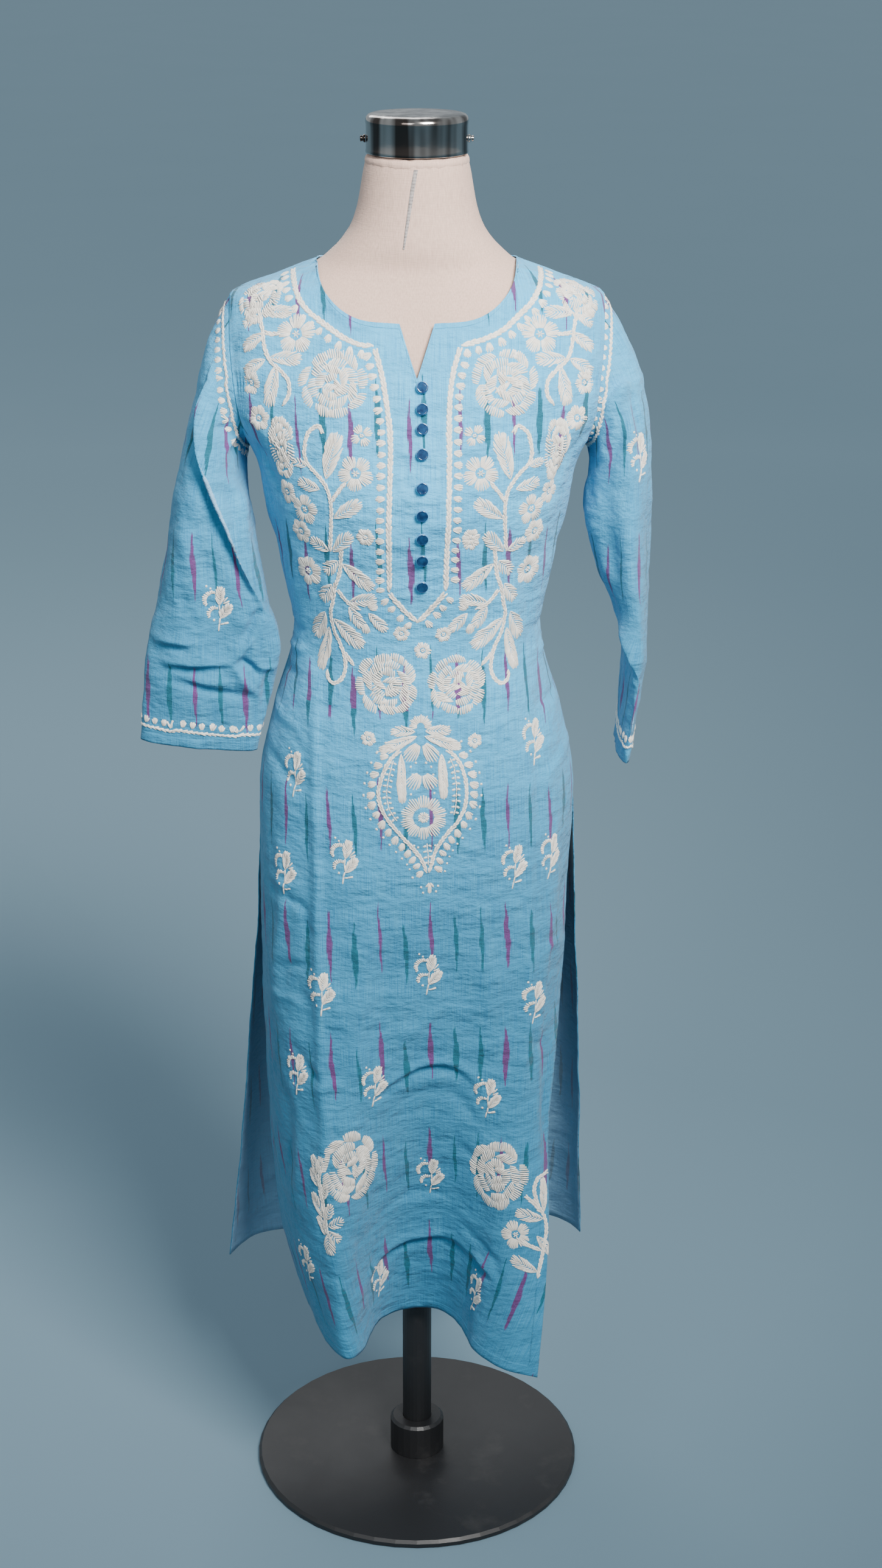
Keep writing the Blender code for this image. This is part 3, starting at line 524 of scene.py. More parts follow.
def dressPanel(name, side, panel):
    grid = panelGrid(side)
    flat = panelFlat(grid)
    normals = -side * gridNormals(grid)
    rows, columns = grid.shape[:2]
    creases = list(panel["creases"])
    rng = random.Random(panel["seed"])
    for k in range(panel["puckers"]):  # pulled threads across the placket
        z = 1232 - k * 14.5 + rng.uniform(-3, 3)
        x = rng.uniform(-14, -4) if k % 2 else rng.uniform(6, 18)
        long, lean = rng.uniform(10, 18), rng.uniform(-2, 2)
        creases.append((3.2, panel["puckerHeight"] * rng.choice((-1, 1, 1.2)), 1,
                        x - long, z - lean, x + long, z + lean))
    push = creaseRelief(grid[..., (0, 2)].reshape(-1, 2), creases)
    points = np.column_stack((flat.reshape(-1, 2), np.zeros(rows * columns)))
    push += unevenness(points * (1, 0.5, 1), "panel", panel["seed"])
    push += unevenness(points, "panelFine", panel["seed"] + 3)
    # The edges stay where the seams and the form hold them
    seamEdge = np.minimum(np.arange(columns), np.arange(columns)[::-1])[None, :]
    above = grid[..., 2] > garment["slitTop"] - 0.02
    hold = np.where(above, np.clip(seamEdge / 5, 0, 1), 1.0)
    hold = hold * np.clip(np.arange(rows)[::-1, None] / 6, 0, 1)
    push = push.reshape(rows, columns) * hold
    push -= garment["seamSunk"] * np.exp(-(seamEdge / 1.2) ** 2) * above
    if side < 0:  # the placket's upper lap
        x, z, lap = grid[..., 0], grid[..., 2], panel["lap"]
        push += (lap["high"] * np.clip((x - lap["left"]) / 0.0022, 0, 1)
                 * np.clip((lap["right"] - x) / 0.003, 0, 1)
                 * np.clip((z - lap["low"]) / 0.006, 0, 1))
    grid = grid + normals * push[..., None]
    neckColumns = np.abs(grid[-1, :, 0]) < garment["neckReach"]
    turned = np.swapaxes(grid, 0, 1)
    sideWay = np.minimum(runAlong(turned).T, runAlong(turned[::-1])[::-1].T)
    edgeWay = np.minimum(runAlong(grid), np.where(neckColumns, runAlong(grid[::-1])[::-1] * 2, 1.0))
    edgeWay = np.minimum(edgeWay, np.where(grid[..., 2] < garment["slitTop"], sideWay, 1.0))
    if side > 0:
        step = fineness["backStep"]
        grid, flat, edgeWay = (part[::step, ::-1] for part in (grid, flat, edgeWay))
    return (*clothPiece(name, grid, flat, edgeWay), grid)


frontSheet, frontTree, frontGrid = dressPanel("frontSheet", -1, frontPanel)
backSheet, backTree, backGrid = dressPanel("backSheet", 1, backPanel)
print("panels laid")


# Sleeves: height, outer edge, inner edge, half depth, middle's y
leftSleeve = {
    "side": -1, "cuff": (0.873, 0.862),
    "rows": (
        (0.862, 0.2800, 0.1610, 0.0150, -0.030), (0.900, 0.2765, 0.1520, 0.0200, -0.029),
        (0.944, 0.2730, 0.1420, 0.0260, -0.027), (0.975, 0.2680, 0.1385, 0.0310, -0.025),
        (1.032, 0.2550, 0.1520, 0.0400, -0.020), (1.100, 0.2430, 0.1610, 0.0500, -0.014),
        (1.139, 0.2360, 0.1670, 0.0550, -0.010), (1.180, 0.2270, 0.1715, 0.0560, -0.005),
        (1.240, 0.2120, 0.1700, 0.0540, 0.000), (1.318, 0.1940, 0.1700, 0.0500, 0.000),
    ),
    # Long folds: top, bottom, turn at both in degrees, half width in degrees, push as a share
    "folds": (
        (1.160, 0.900, 130, 150, 24, 0.16), (1.130, 0.920, 85, 105, 24, -0.18),
        (1.180, 0.960, 40, 60, 26, 0.08), (1.150, 0.930, 230, 215, 26, -0.12),
    ),
    "creases": (
        # seen from the front: the flap from the armpit down to the elbow, then crumpled corners
        (1.8, 8.5, 7, -199, 1246, -206, 1217, -206, 1181, -200, 1151, -184, 1106, -168, 1056,
         -152, 1017, -144, 1006),
        (3, -6.2, -4, -203, 1240, -210, 1215, -210, 1180, -204, 1148, -188, 1103, -172, 1053,
         -156, 1013),
        (2.4, 5.6, -3, -186, 1172, -178, 1185, -169, 1192, -163, 1198),
        (3.6, -5, 1, -180, 1167, -174, 1179, -166, 1185),
        (3.6, 3.4, 1, -191, 1150, -179, 1142, -171, 1125, -168, 1100, -161, 1059),
        (4, -3.4, 1, -194, 1140, -184, 1132, -177, 1115, -174, 1090),
        (5, -2.8, 1, -202, 1206, -190, 1197, -173, 1198),
        (2.8, 3.4, 2, -263, 981, -243, 982, -222, 980),
        (3.2, -3.2, 1, -260, 974, -242, 974, -224, 973),
        (2.6, 4.2, 3, -259, 960, -209, 960, -183, 960),
        (3.6, -4.2, -3, -255, 952, -209, 952, -186, 951),
        (2.6, 6, 3, -183, 960, -174, 971, -162, 988),
        (2.6, 5.8, -3, -183, 960, -171, 940, -161, 926),
        (3.6, -6.2, 1, -177, 964, -165, 955, -157, 944),
        (3.8, 3, 1, -163, 958, -150, 953, -139, 954),
        (3.4, -4.2, 2, -250, 942, -210, 930, -171, 923, -161, 913),
        (3.4, 3.4, 2, -248, 950, -210, 938, -175, 931),
        (4, -6.2, 1, -151, 1015, -159, 1007, -175, 977),
        (4, 3.4, 1, -144, 1006, -137, 987, -139, 961),
        (4.2, -5.2, 1, -147, 952, -151, 929, -154, 905),
        (7, -2.4, 1, -238, 1047, -221, 1005, -206, 994),
        (8, 2.2, 1, -230, 1100, -222, 1060, -210, 1030),
    ),
    # a crease's number, how wide the cloth laps over it, how far
    "tucks": ((0, 10, 7), (2, 6, -2.4), (11, 6, 2.4), (9, 6, 2.2)),
    "creasesBehind": (
        (7, 3.4, 1, -175, 1150, -190, 1090, -186, 1030),
        (7, -3.6, 1, -188, 1146, -204, 1090, -200, 1030),
        (8, 3, 1, -215, 1130, -226, 1060, -232, 990),
        (5, -3.4, 1, -190, 1000, -210, 988, -240, 992),
        (5, 3.2, 1, -188, 984, -210, 972, -238, 976),
        (5.5, -2.6, 1, -180, 940, -215, 930, -250, 936),
    ),
}
rightSleeve = {
    "side": 1, "cuff": (0.864, 0.864),
    "rows": (
        (0.862, 0.2150, 0.2010, 0.0590, -0.020), (0.900, 0.2200, 0.2040, 0.0600, -0.020),
        (0.950, 0.2270, 0.2060, 0.0600, -0.018), (1.000, 0.2300, 0.2000, 0.0590, -0.015),
        (1.053, 0.2300, 0.1770, 0.0580, -0.012), (1.108, 0.2310, 0.1640, 0.0570, -0.008),
        (1.157, 0.2300, 0.1710, 0.0570, -0.004), (1.200, 0.2260, 0.1750, 0.0560, 0.000),
        (1.254, 0.2150, 0.1720, 0.0530, 0.000), (1.318, 0.1940, 0.1700, 0.0500, 0.000),
    ),
    "folds": (
        (1.220, 0.900, 70, 60, 26, 0.08), (1.160, 1.010, 115, 120, 26, -0.16),
        (1.180, 0.930, 250, 265, 26, 0.08), (1.130, 1.000, 205, 212, 26, -0.14),
    ),
    "creases": (
        (2, 7, 6, 209, 1240, 194, 1234, 184, 1223, 176, 1205),
        (3.6, -6.4, -2, 206, 1244, 192, 1239, 181, 1228, 173, 1210),
        (4.5, -4.2, 1, 206, 1239, 209, 1219, 214, 1197, 216, 1170),
        (5.5, -4, 1, 205, 1238, 200, 1214, 193, 1186, 184, 1160),
        (5, 3, 1, 198, 1225, 192, 1200, 184, 1178, 176, 1160),
        (8, 2.2, 1, 212, 1130, 208, 1090, 210, 1050),
        (8, -2.2, 1, 190, 1120, 190, 1080, 196, 1040),
        (1.8, 6.2, 4, 196, 1010, 205, 996, 211, 984, 215.5, 968, 219, 948),
        (3.4, -5.6, -3, 194, 1004, 202, 991, 208, 980, 212, 965, 215, 946),
        (3.8, 3.2, 1, 209, 963, 213, 958, 215, 943),
        (4, -2.2, 1, 206, 940, 210, 920, 209, 895),
    ),
    # a crease's number, how wide the cloth laps over it, how far
    "tucks": ((0, 9, 5.5), (7, 7, 5)),
    "creasesBehind": (
        (7, 3.2, 1, 175, 1150, 190, 1090, 196, 1030),
        (7, -3.4, 1, 188, 1146, 204, 1090, 208, 1030),
        (5, -2.8, 1, 200, 1000, 210, 988, 220, 992),
        (5, 2.8, 1, 200, 984, 212, 974, 222, 978),
    ),
}
# Where the sleeve's crown leaves the seam: at the top, at the underarm
capShape = {"drop": (0.085, 0.030), "reach": (0.030, 0.011)}


def sleevePoints(sleeve, turn, z):
    turn, z = np.broadcast_arrays(np.asarray(turn, float), np.asarray(z, float))
    rows = sleeve["rows"]
    outer, inner = curveThrough(rows, 1, z), curveThrough(rows, 2, z)
    depth, middle = curveThrough(rows, 3, z), curveThrough(rows, 4, z)
    scale = np.ones(z.shape)
    for top, bottom, turnTop, turnBottom, width, share in sleeve["folds"]:
        down = (top - z) / (top - bottom)
        ridge = turnTop + (turnBottom - turnTop) * down
        off = (np.degrees(turn) - ridge + 180) % 360 - 180
        push = share * np.sin(math.pi * np.clip(down, 0, 1)) * np.exp(-(off / width) ** 2)
        scale = scale + np.where((down > 0) & (down < 1), push, 0)
    x = (outer + inner) / 2 + (outer - inner) / 2 * np.cos(turn) * scale
    return np.stack((sleeve["side"] * x, middle - depth * np.sin(turn) * scale, z), axis=-1)


def sleeveGrid(sleeve):
    count, side = fineness["sleeveTurns"], sleeve["side"]
    line = armholeLine(count)
    front, back = (np.column_stack((side * line[:, 0], bodyDepth(line[:, 0], line[:, 1], facing),
                                    line[:, 1])) for facing in (-1, 1))
    loop = np.vstack((front, back[-2:0:-1]))
    loop[[0, count], 1] = 0.0
    onward = np.cross(np.roll(loop, -1, axis=0) - np.roll(loop, 1, axis=0), bodyNormal(loop))
    onward /= np.linalg.norm(onward, axis=1, keepdims=True)
    onward *= np.sign(onward[:, :1] * side)
    turns = np.arange(len(loop)) / len(loop) * 2 * math.pi
    low = (1 - np.cos(turns)) / 2
    start = loop + onward * garment["seamGap"]
    lead = onward + np.outer(0.8 * np.abs(np.sin(turns)), (side, 0.0, -0.5))
    lead /= np.linalg.norm(lead, axis=1, keepdims=True)
    drop, reach = (top + (under - top) * low
                   for top, under in (capShape["drop"], capShape["reach"]))
    reach = reach[:, None]
    freeZ = loop[:, 2] - drop
    free = sleevePoints(sleeve, turns, freeZ)
    above = sleevePoints(sleeve, turns, freeZ + 0.004)
    pull = free + (above - free) / np.linalg.norm(above - free, axis=1, keepdims=True) * reach
    rows = []
    for t in np.linspace(0, 1, fineness["capRows"] + 1):
        rows.append((1 - t) ** 3 * start + 3 * (1 - t) ** 2 * t * (start + lead * reach)
                    + 3 * (1 - t) * t ** 2 * pull + t ** 3 * free)
    cuffZ = sleeve["cuff"][0] + (sleeve["cuff"][1] - sleeve["cuff"][0]) * low
    for t in np.linspace(0, 1, fineness["sleeveRows"] + 1)[1:]:
        rows.append(sleevePoints(sleeve, turns, freeZ + (cuffZ - freeZ) * t))
    return np.array(rows)


def dressSleeve(name, sleeve, seed):
    grid = sleeveGrid(sleeve)[::-1]  # from the cuff up
    turns = grid.shape[1]
    run = runAlong(np.swapaxes(np.concatenate((grid, grid[:, :1]), axis=1), 0, 1)).T
    across = run[:, :-1].copy()
    across[:, turns // 2:] -= run[:, -1:]  # behind the outer edge counts down
    up = runAlong(grid) + grid[:1, :, 2]
    order = np.roll(np.arange(turns), turns // 2)  # the underarm seam comes first and last
    grid, across, up = grid[:, order], across[:, order], up[:, order]
    normals = gridNormals(grid, around=True)
    if np.sum(normals * (grid - grid.mean(axis=1, keepdims=True))) < 0:
        grid, across, up, normals = grid[:, ::-1], across[:, ::-1], up[:, ::-1], -normals[:, ::-1]
    places = grid[..., (0, 2)].reshape(-1, 2)
    facing = np.clip(0.5 - normals[..., 1].reshape(-1) * 1.6, 0, 1)
    push = creaseRelief(places, sleeve["creases"]) * facing
    push += creaseRelief(places, sleeve["creasesBehind"]) * (1 - facing)
    push += unevenness(grid.reshape(-1, 3) * (1, 1, 0.7), "sleeve", seed)
    push += unevenness(grid.reshape(-1, 3), "sleeveFine", seed + 2)
    fromTop = np.arange(len(grid))[::-1, None]
    push = push.reshape(grid.shape[:2]) * np.clip(fromTop / 12, 0, 1)
    push -= garment["seamSunk"] * np.exp(-(fromTop / 1.2) ** 2)
    seamAway = np.abs(np.abs(across) - np.abs(across).max(axis=1, keepdims=True))
    push -= garment["underarmSunk"] * np.exp(-(seamAway / garment["underarmWide"]) ** 2)
    tuck = tuckOver(places, sleeve["creases"], sleeve["tucks"]) * facing[:, None]
    tuck = tuck.reshape(grid.shape) * np.clip(fromTop / 12, 0, 1)[..., None]
    for _ in range(2):  # so that the fold's edge runs evenly over rows and columns
        tuck = (np.roll(tuck, 1, axis=1) + 2 * tuck + np.roll(tuck, -1, axis=1)) / 4
        tuck[1:-1] = (tuck[:-2] + 2 * tuck[1:-1] + tuck[2:]) / 4
    grid = grid + normals * push[..., None] + tuck
    cut = np.stack((across, up), axis=2)
    return (*clothPiece(name, grid, cut, runAlong(grid), around=True), grid)


leftSheet, leftTree, leftGrid = dressSleeve("leftSleeveSheet", leftSleeve, 11)
rightSheet, rightTree, rightGrid = dressSleeve("rightSleeveSheet", rightSleeve, 12)
print("sleeves hung")


# Materials
class Wire:
    # A socket of a node tree; every sum made with it adds the node for that sum
    def __init__(self, tree, socket):
        self.tree, self.socket = tree, socket

    def math(self, operation, *values, clamp=False):
        node = nodeOf(self.tree, "ShaderNodeMath", enumerate(values), operation=operation,
                      use_clamp=clamp)
        return Wire(self.tree, node.outputs[0])

    def __add__(self, other):
        return self.math("ADD", self, other)

    def __sub__(self, other):
        return self.math("SUBTRACT", self, other)

    def __rsub__(self, other):
        return self.math("SUBTRACT", other, self)

    def __mul__(self, other):
        return self.math("MULTIPLY", self, other)

    def __truediv__(self, other):
        return self.math("DIVIDE", self, other)

    def __pow__(self, other):
        return self.math("POWER", self, other)

    def __mod__(self, other):
        return self.math("MODULO", self, other)

    def __gt__(self, other):
        return self.math("GREATER_THAN", self, other)

    def __lt__(self, other):
        return self.math("LESS_THAN", self, other)

    def __abs__(self):
        return self.math("ABSOLUTE", self)

    def __floor__(self):
        return self.math("FLOOR", self)

    def split(self):
        node = nodeOf(self.tree, "ShaderNodeSeparateXYZ", {0: self})
        return [Wire(self.tree, output) for output in node.outputs]

    def ramp(self, low, high):
        node = nodeOf(self.tree, "ShaderNodeMapRange",
                      {"Value": self, "From Min": low, "From Max": high})
        return Wire(self.tree, node.outputs[0])

    def noise(self, stretch, detail=2.0, rough=0.5):
        node = nodeOf(self.tree, "ShaderNodeVectorMath", {0: self, 1: stretch},
                      operation="MULTIPLY")
        node = nodeOf(self.tree, "ShaderNodeTexNoise", {
            "Vector": Wire(self.tree, node.outputs[0]), "Scale": 1.0, "Detail": detail,
            "Roughness": rough})
        return Wire(self.tree, node.outputs["Fac"])

    def chance(self, other=None):
        # A number from 0 to 1 for each whole value, or for each pair of them
        if other is None:
            node = nodeOf(self.tree, "ShaderNodeTexWhiteNoise", {"W": self}, noise_dimensions="1D")
        else:
            pair = nodeOf(self.tree, "ShaderNodeCombineXYZ", {0: self, 1: other})
            node = nodeOf(self.tree, "ShaderNodeTexWhiteNoise",
                          {"Vector": Wire(self.tree, pair.outputs[0])}, noise_dimensions="2D")
        return Wire(self.tree, node.outputs["Value"])

    def mix(self, a, b):
        # Colour a where the wire is 0 and colour b where it is 1
        return blendOf(self.tree, self, a, b)


def feed(socket, value):
    # Wires are linked; numbers and colours are set on the socket itself
    if isinstance(value, Wire):
        value.tree.links.new(value.socket, socket)
    elif socket.type == "RGBA":
        socket.default_value = (*value, 1.0)
    else:
        socket.default_value = value


def nodeOf(tree, kind, inputs=(), **settings):
    node = tree.nodes.new(kind)
    for key, value in settings.items():
        setattr(node, key, value)
    for key, value in dict(inputs).items():
        feed(node.inputs[key], value)
    return node


def blendOf(tree, share, a, b):
    node = nodeOf(tree, "ShaderNodeMix", {"Factor": share, 6: a, 7: b}, data_type="RGBA")
    return Wire(tree, node.outputs[2])


def newMaterial(name, roughness, **sockets):
    material = bpy.data.materials.new(name)
    material.use_nodes = True
    tree = material.node_tree
    shader = tree.nodes["Principled BSDF"]
    for socket, value in {"Roughness": roughness, **sockets}.items():
        feed(shader.inputs[socket.replace("_", " ")], value)
    return material, tree, shader


def placeIn(tree):
    return Wire(tree, nodeOf(tree, "ShaderNodeTexCoord").outputs["Object"])


def uvIn(tree, layer):
    return Wire(tree, nodeOf(tree, "ShaderNodeUVMap", uv_map=layer).outputs[0])


def finishPaint(shader, colour, height, strength, distance, roughness=None):
    feed(shader.inputs["Base Color"], colour)
    if roughness:
        feed(shader.inputs["Roughness"], roughness)
    bump = nodeOf(height.tree, "ShaderNodeBump",
                  {"Height": height, "Strength": strength, "Distance": distance})
    feed(shader.inputs["Normal"], Wire(height.tree, bump.outputs[0]))


# Slub cotton with ikat dashes along the grain; UV is the flat cut in metres
ikat = {
    "pale": (0.080, 0.480, 0.780), "mid": (0.026, 0.320, 0.600), "deep": (0.012, 0.180, 0.380),
    "fleck": (0.170, 0.560, 0.800), "plum": (0.125, 0.010, 0.110), "teal": (0.000, 0.085, 0.120),
    "shadow": (0.000, 0.030, 0.070), "paintedFillGrey": (0.340, 0.460, 0.580), "paintedShadeShare": 0.48,
    "columnStep": 0.0258, "rowStep": 0.1335, "dashLength": 0.080, "dashWidth": 0.0033,
    "strip": 0.00115, "stagger": 0.010, "slant": 0.0026, "drop": 0.022, "softEdge": 0.0004,
    "threads": 9000.0,
}


def ikatCotton(name, shiftAcross=0.0, shiftUp=0.0, swapBelow=0.93, placket=False, paintedFillShare=0.0,
               paintedShadeRamp=(1.04, 0.68)):
    material, tree, shader = newMaterial(name, 0.84, Sheen_Weight=0.20, Sheen_Roughness=0.5,
                                         Specular_IOR_Level=0.3, Sheen_Tint=(0.75, 0.88, 1.0))
    uv = uvIn(tree, "flatCut")
    across, v, _ = uv.split()
    u = across
    if placket:  # the lap and the strip under it are cut apart from the panel's columns
        u = u + (v > 1.03) * (abs(u) < 0.022) * ((u > 0.001) * 0.013 - 0.005)
    u = u + (uv.noise((14, 22, 0)) - 0.5) * 0.006
    # a few warp threads at a time take the dye together
    strip = math.floor(u / ikat["strip"])
    bundle = (strip + 0.5) * ikat["strip"]
    column = (bundle + (20.5 * ikat["columnStep"] + shiftAcross)) / ikat["columnStep"]
    cell = math.floor(column)
    off = (column - cell - 0.5) * ikat["columnStep"]
    drop = (cell.chance() - 0.5) * ikat["drop"]
    row = (v + shiftUp + drop) / ikat["rowStep"]
    # below the waist the loom's colours swap, except on the right
    odd = (cell + (v < swapBelow) * (u < 0.053)) % 2.0
    slip = (strip.chance(math.floor(row)) - 0.5) * (ikat["stagger"] / ikat["rowStep"])
    along = (row.math("FRACT", row) + slip) * (ikat["rowStep"] / ikat["dashLength"])
    # a dash swells to its middle and leans from right to left
    middle = along * 2.0 - 1.0
    swell = 1.0 - abs(middle) ** 1.25
    width = swell * ((cell.chance(math.floor(row)) * 0.5 + 0.62) * ikat["dashWidth"])
    off = off + middle * (ikat["slant"] / 2)
    mask = width.math("DIVIDE", width - abs(off), ikat["softEdge"], clamp=True)
    slubUp, slubAcross = uv.noise((1700, 26, 0), 3.0, 0.6), uv.noise((60, 1900, 0), 3.0, 0.6)
    grain, cloud = uv.noise((1500, 1500, 0), 2.0, 0.6), uv.noise((9, 7, 0), 3.0)
    blue = slubUp.ramp(0.34, 0.66).mix(ikat["mid"], ikat["pale"])
    blue = (slubAcross.ramp(0.52, 0.80) * 0.3).mix(blue, ikat["pale"])
    blue = (slubUp.ramp(0.46, 0.28) * 0.42).mix(blue, ikat["deep"])
    blue = (grain.ramp(0.50, 0.75) * 0.45).mix(blue, ikat["fleck"])
    blue = (cloud.ramp(0.45, 0.75) * 0.30).mix(blue, ikat["deep"])
    dye = odd.mix(ikat["teal"], ikat["plum"])
    dye = (grain.ramp(0.45, 0.75) * 0.30).mix(dye, ikat["mid"])
    if not paintedFillShare:  # painted shade: the blue darkens towards the shadow colour low down, standing in for the light falling off towards the hem
        blue = (v.ramp(*paintedShadeRamp) * ikat["paintedShadeShare"]).mix(blue, ikat["shadow"])
    colour = (mask * 0.96).mix(blue, dye)
    if paintedFillShare:  # painted light: the wrong side of the cloth is mixed paler and greyer, standing in for fill light where it shows in the shaded slits
        colour = blendOf(tree, paintedFillShare, colour, ikat["paintedFillGrey"])
    # plain weave, slubs, a fine crinkle, and the double cloth of the turned edges
    threads = [part.math("SINE", part * ikat["threads"]) for part in (across, v)]
    height = (threads[0] + threads[1]) * 0.05 + (slubUp + grain) * 0.35
    height = height + uv.noise((60, 130, 0), 4.0, 0.60) * 4.0
    height = height + uv.noise((15, 30, 0), 3.0) * 11.0
    height = height + uvIn(tree, "edgeWay").split()[0].ramp(0.0106, 0.0092)
    finishPaint(shader, colour, height, 0.8, 0.0011)
    return material


def plainCotton(name, base, dark, stain, weaveStep, strength):
    # Cover cloth of the form
    material, tree, shader = newMaterial(name, 0.92, Sheen_Weight=0.15, Specular_IOR_Level=0.2)
    place = placeIn(tree)
    weaveA = place.noise((weaveStep, weaveStep, 90), 1.0)
    weaveB = place.noise((90, 90, weaveStep), 1.0)
    colour = weaveA.ramp(0.3, 0.8).mix(base, dark)
    colour = (place.noise((11, 11, 8), 4.0).ramp(0.5, 0.8) * 0.5).mix(colour, stain)
    colour = (place.noise((60, 60, 60)).ramp(0.72, 0.80) * 0.4).mix(colour, stain)
    finishPaint(shader, colour, weaveA + weaveB, strength, 0.0006)
    return material


def threadCotton(name, pale, shade, strength=0.5):
    # Loosely plied thread: UV runs across and along each strand
    material, tree, shader = newMaterial(name, 0.62, Sheen_Weight=0.35, Sheen_Roughness=0.4,
                                         Specular_IOR_Level=0.35)
    uv, place = uvIn(tree, "strand"), placeIn(tree)
    ply = nodeOf(tree, "ShaderNodeTexWave", {"Vector": uv, "Scale": 1.1, "Distortion": 1.5},
                 bands_direction="DIAGONAL")
    colour = place.noise((260, 260, 260)).ramp(0.35, 0.7).mix(pale, shade)
    colour = (place.noise((24, 24, 24)).ramp(0.4, 0.8) * 0.35).mix(colour, shade)
    edge = abs(uv.split()[0] - 0.5)
    dim = tuple(part * 0.42 for part in shade)  # little light reaches between the strands
    colour = (edge.ramp(0.22, 0.5) * 0.85).mix(colour, dim)
    finishPaint(shader, colour, Wire(tree, ply.outputs["Fac"]), strength, 0.0003)
    return material


def tapeCotton(name):
    # Grey ribbon with a row of darker stitch holes
    material, tree, shader = newMaterial(name, 0.85, Specular_IOR_Level=0.2)
    place = placeIn(tree)
    weave, up = place.noise((900, 900, 260)), place.split()[2]
    hole = abs(up.math("SINE", up * 1050.0)) ** 3.0
    colour = weave.ramp(0.35, 0.65).mix((0.16, 0.145, 0.14), (0.34, 0.31, 0.30))
    finishPaint(shader, (hole * 0.5).mix(colour, (0.44, 0.40, 0.38)), weave, 0.5, 0.0004)
    return material


def polishedChrome(name):
    # Chrome with painted reflections: dark and bright streaks in its colour stand in for the
    # surroundings it mirrors. The streaks also give fine scratches in its bump, and finger marks
    # show in its bump and roughness.
    material, tree, shader = newMaterial(name, 0.07, Metallic=1.0)
    place = placeIn(tree)
    reflectionStreaks, smudge = place.noise((46, 46, 2), 2.0, 0.6), place.noise((60, 60, 90), 4.0)
    # painted reflection: the streaks set the base colour from dark brown to pale grey
    tone = reflectionStreaks.ramp(0.42, 0.60).mix((0.085, 0.068, 0.060), (0.52, 0.49, 0.46))
    finishPaint(shader, tone, reflectionStreaks + smudge * 0.1, 0.5, 0.0008, smudge * 0.14 + 0.05)
    return material


def satinPaint(name, base, worn):
    # Black powder paint with an orange peel and a few rubbed spots
    material, tree, shader = newMaterial(name, 0.42, Specular_IOR_Level=0.5)
    place = placeIn(tree)
    peel, rub = place.noise((900, 900, 900)), place.noise((18, 18, 18), 5.0, 0.65)
    colour = (rub.ramp(0.56, 0.74) * 0.5).mix(base, worn)
    finishPaint(shader, colour, peel, 0.25, 0.0003, rub * 0.22 + 0.34)
    return material


def glossyButton(name):
    # Deep blue resin with a cloudy shine
    material, tree, shader = newMaterial(name, 0.12, Coat_Weight=0.8, Coat_Roughness=0.06,
                                         Metallic=0.25)
    swirl = placeIn(tree).noise((190, 190, 190), 3.0)
    blue = swirl.ramp(0.35, 0.70).mix((0.004, 0.022, 0.075), (0.012, 0.070, 0.175))
    facing = Wire(tree, nodeOf(tree, "ShaderNodeNewGeometry").outputs["Normal"]).split()[1]
    # painted light: the rim, which faces away from the front, is a lighter blue, as if lit on its
    # side
    colour = facing.ramp(-0.86, -0.62).mix(blue, (0.10, 0.34, 0.60))
    finishPaint(shader, colour, swirl, 0.12, 0.0004)
    return material


clothIkat = ikatCotton("ikatCotton", -0.0144, 0.0275, placket=True)
backIkat = ikatCotton("ikatCottonBack", -0.0144, 0.0275)
sleeveIkat = ikatCotton("ikatCottonSleeve", 0.0155, 0.050, 0.0, paintedShadeRamp=(1.34, 1.00))
insideIkat = ikatCotton("ikatCottonInside", -0.0144, 0.0275, paintedFillShare=0.55)
creamThread = threadCotton("creamThread", (0.80, 0.76, 0.69), (0.62, 0.58, 0.51))
blueThread = threadCotton("blueSewingThread", (0.10, 0.33, 0.52), (0.05, 0.20, 0.36), 0.3)
formCover = plainCotton("formCoverCotton", (0.60, 0.415, 0.335), (0.48, 0.33, 0.265),
                        (0.42, 0.29, 0.23), 900, 0.35)
chrome = polishedChrome("polishedChrome")
blackPaint = satinPaint("satinBlack", (0.012, 0.012, 0.013), (0.045, 0.043, 0.042))
buttonPaint = glossyButton("deepBlueResin")
for sheet, material in ((frontSheet, clothIkat), (backSheet, backIkat),
                        (leftSheet, sleeveIkat), (rightSheet, sleeveIkat)):
    sheet.data.materials.append(material)
    sheet.data.materials.append(insideIkat)
    sheet.modifiers["clothThickness"].material_offset = 1
print("cloth dyed")


# Needlework: every strand is a low rounded strip of thread that rests on the cloth
needle = random.Random(21)
strands = {"wide": 1.95, "high": 1.25, "rings": (0.0, 0.13, 0.5, 0.87, 1.0),
           "ringWide": (0.66, 0.96, 1.0, 0.96, 0.56), "ringHigh": (0.10, 0.84, 1.0, 0.84, 0.10),
           "turns": (0, 62, 118, 180), "sunk": 0.0003, "plyLength": 0.0025}


def hitAlongY(tree, x, z, side=-1):
    # What a look along Y meets, from the front or from behind; x and z in metres
    return tree.ray_cast(Vector((x, side, z)), Vector((0, -side, 0)))


def flatGround(tree, x, z, side=-1, turn=0.0, mirror=1):
    # A flat patch of cloth at x and z in millimetres
    hits = [hitAlongY(tree, (x + dx) / 1000, (z + dz) / 1000, side)
            for dx, dz in ((0, 0), (8, 0), (-8, 0), (0, 8), (0, -8))]
    hits = [hit for hit in hits if hit[0] is not None]
    if not hits:
        return None
    normal = sum((hit[1] for hit in hits), Vector()).normalized()
    up = (Vector((0, 0, 1)) - normal * normal.z).normalized()
    right = up.cross(normal)
    turn = math.radians(turn)
    return {"tree": tree, "origin": hits[0][0], "normal": normal, "line": None,
            "right": (right * math.cos(turn) + up * math.sin(turn)) * mirror,
            "up": up * math.cos(turn) - right * math.sin(turn)}


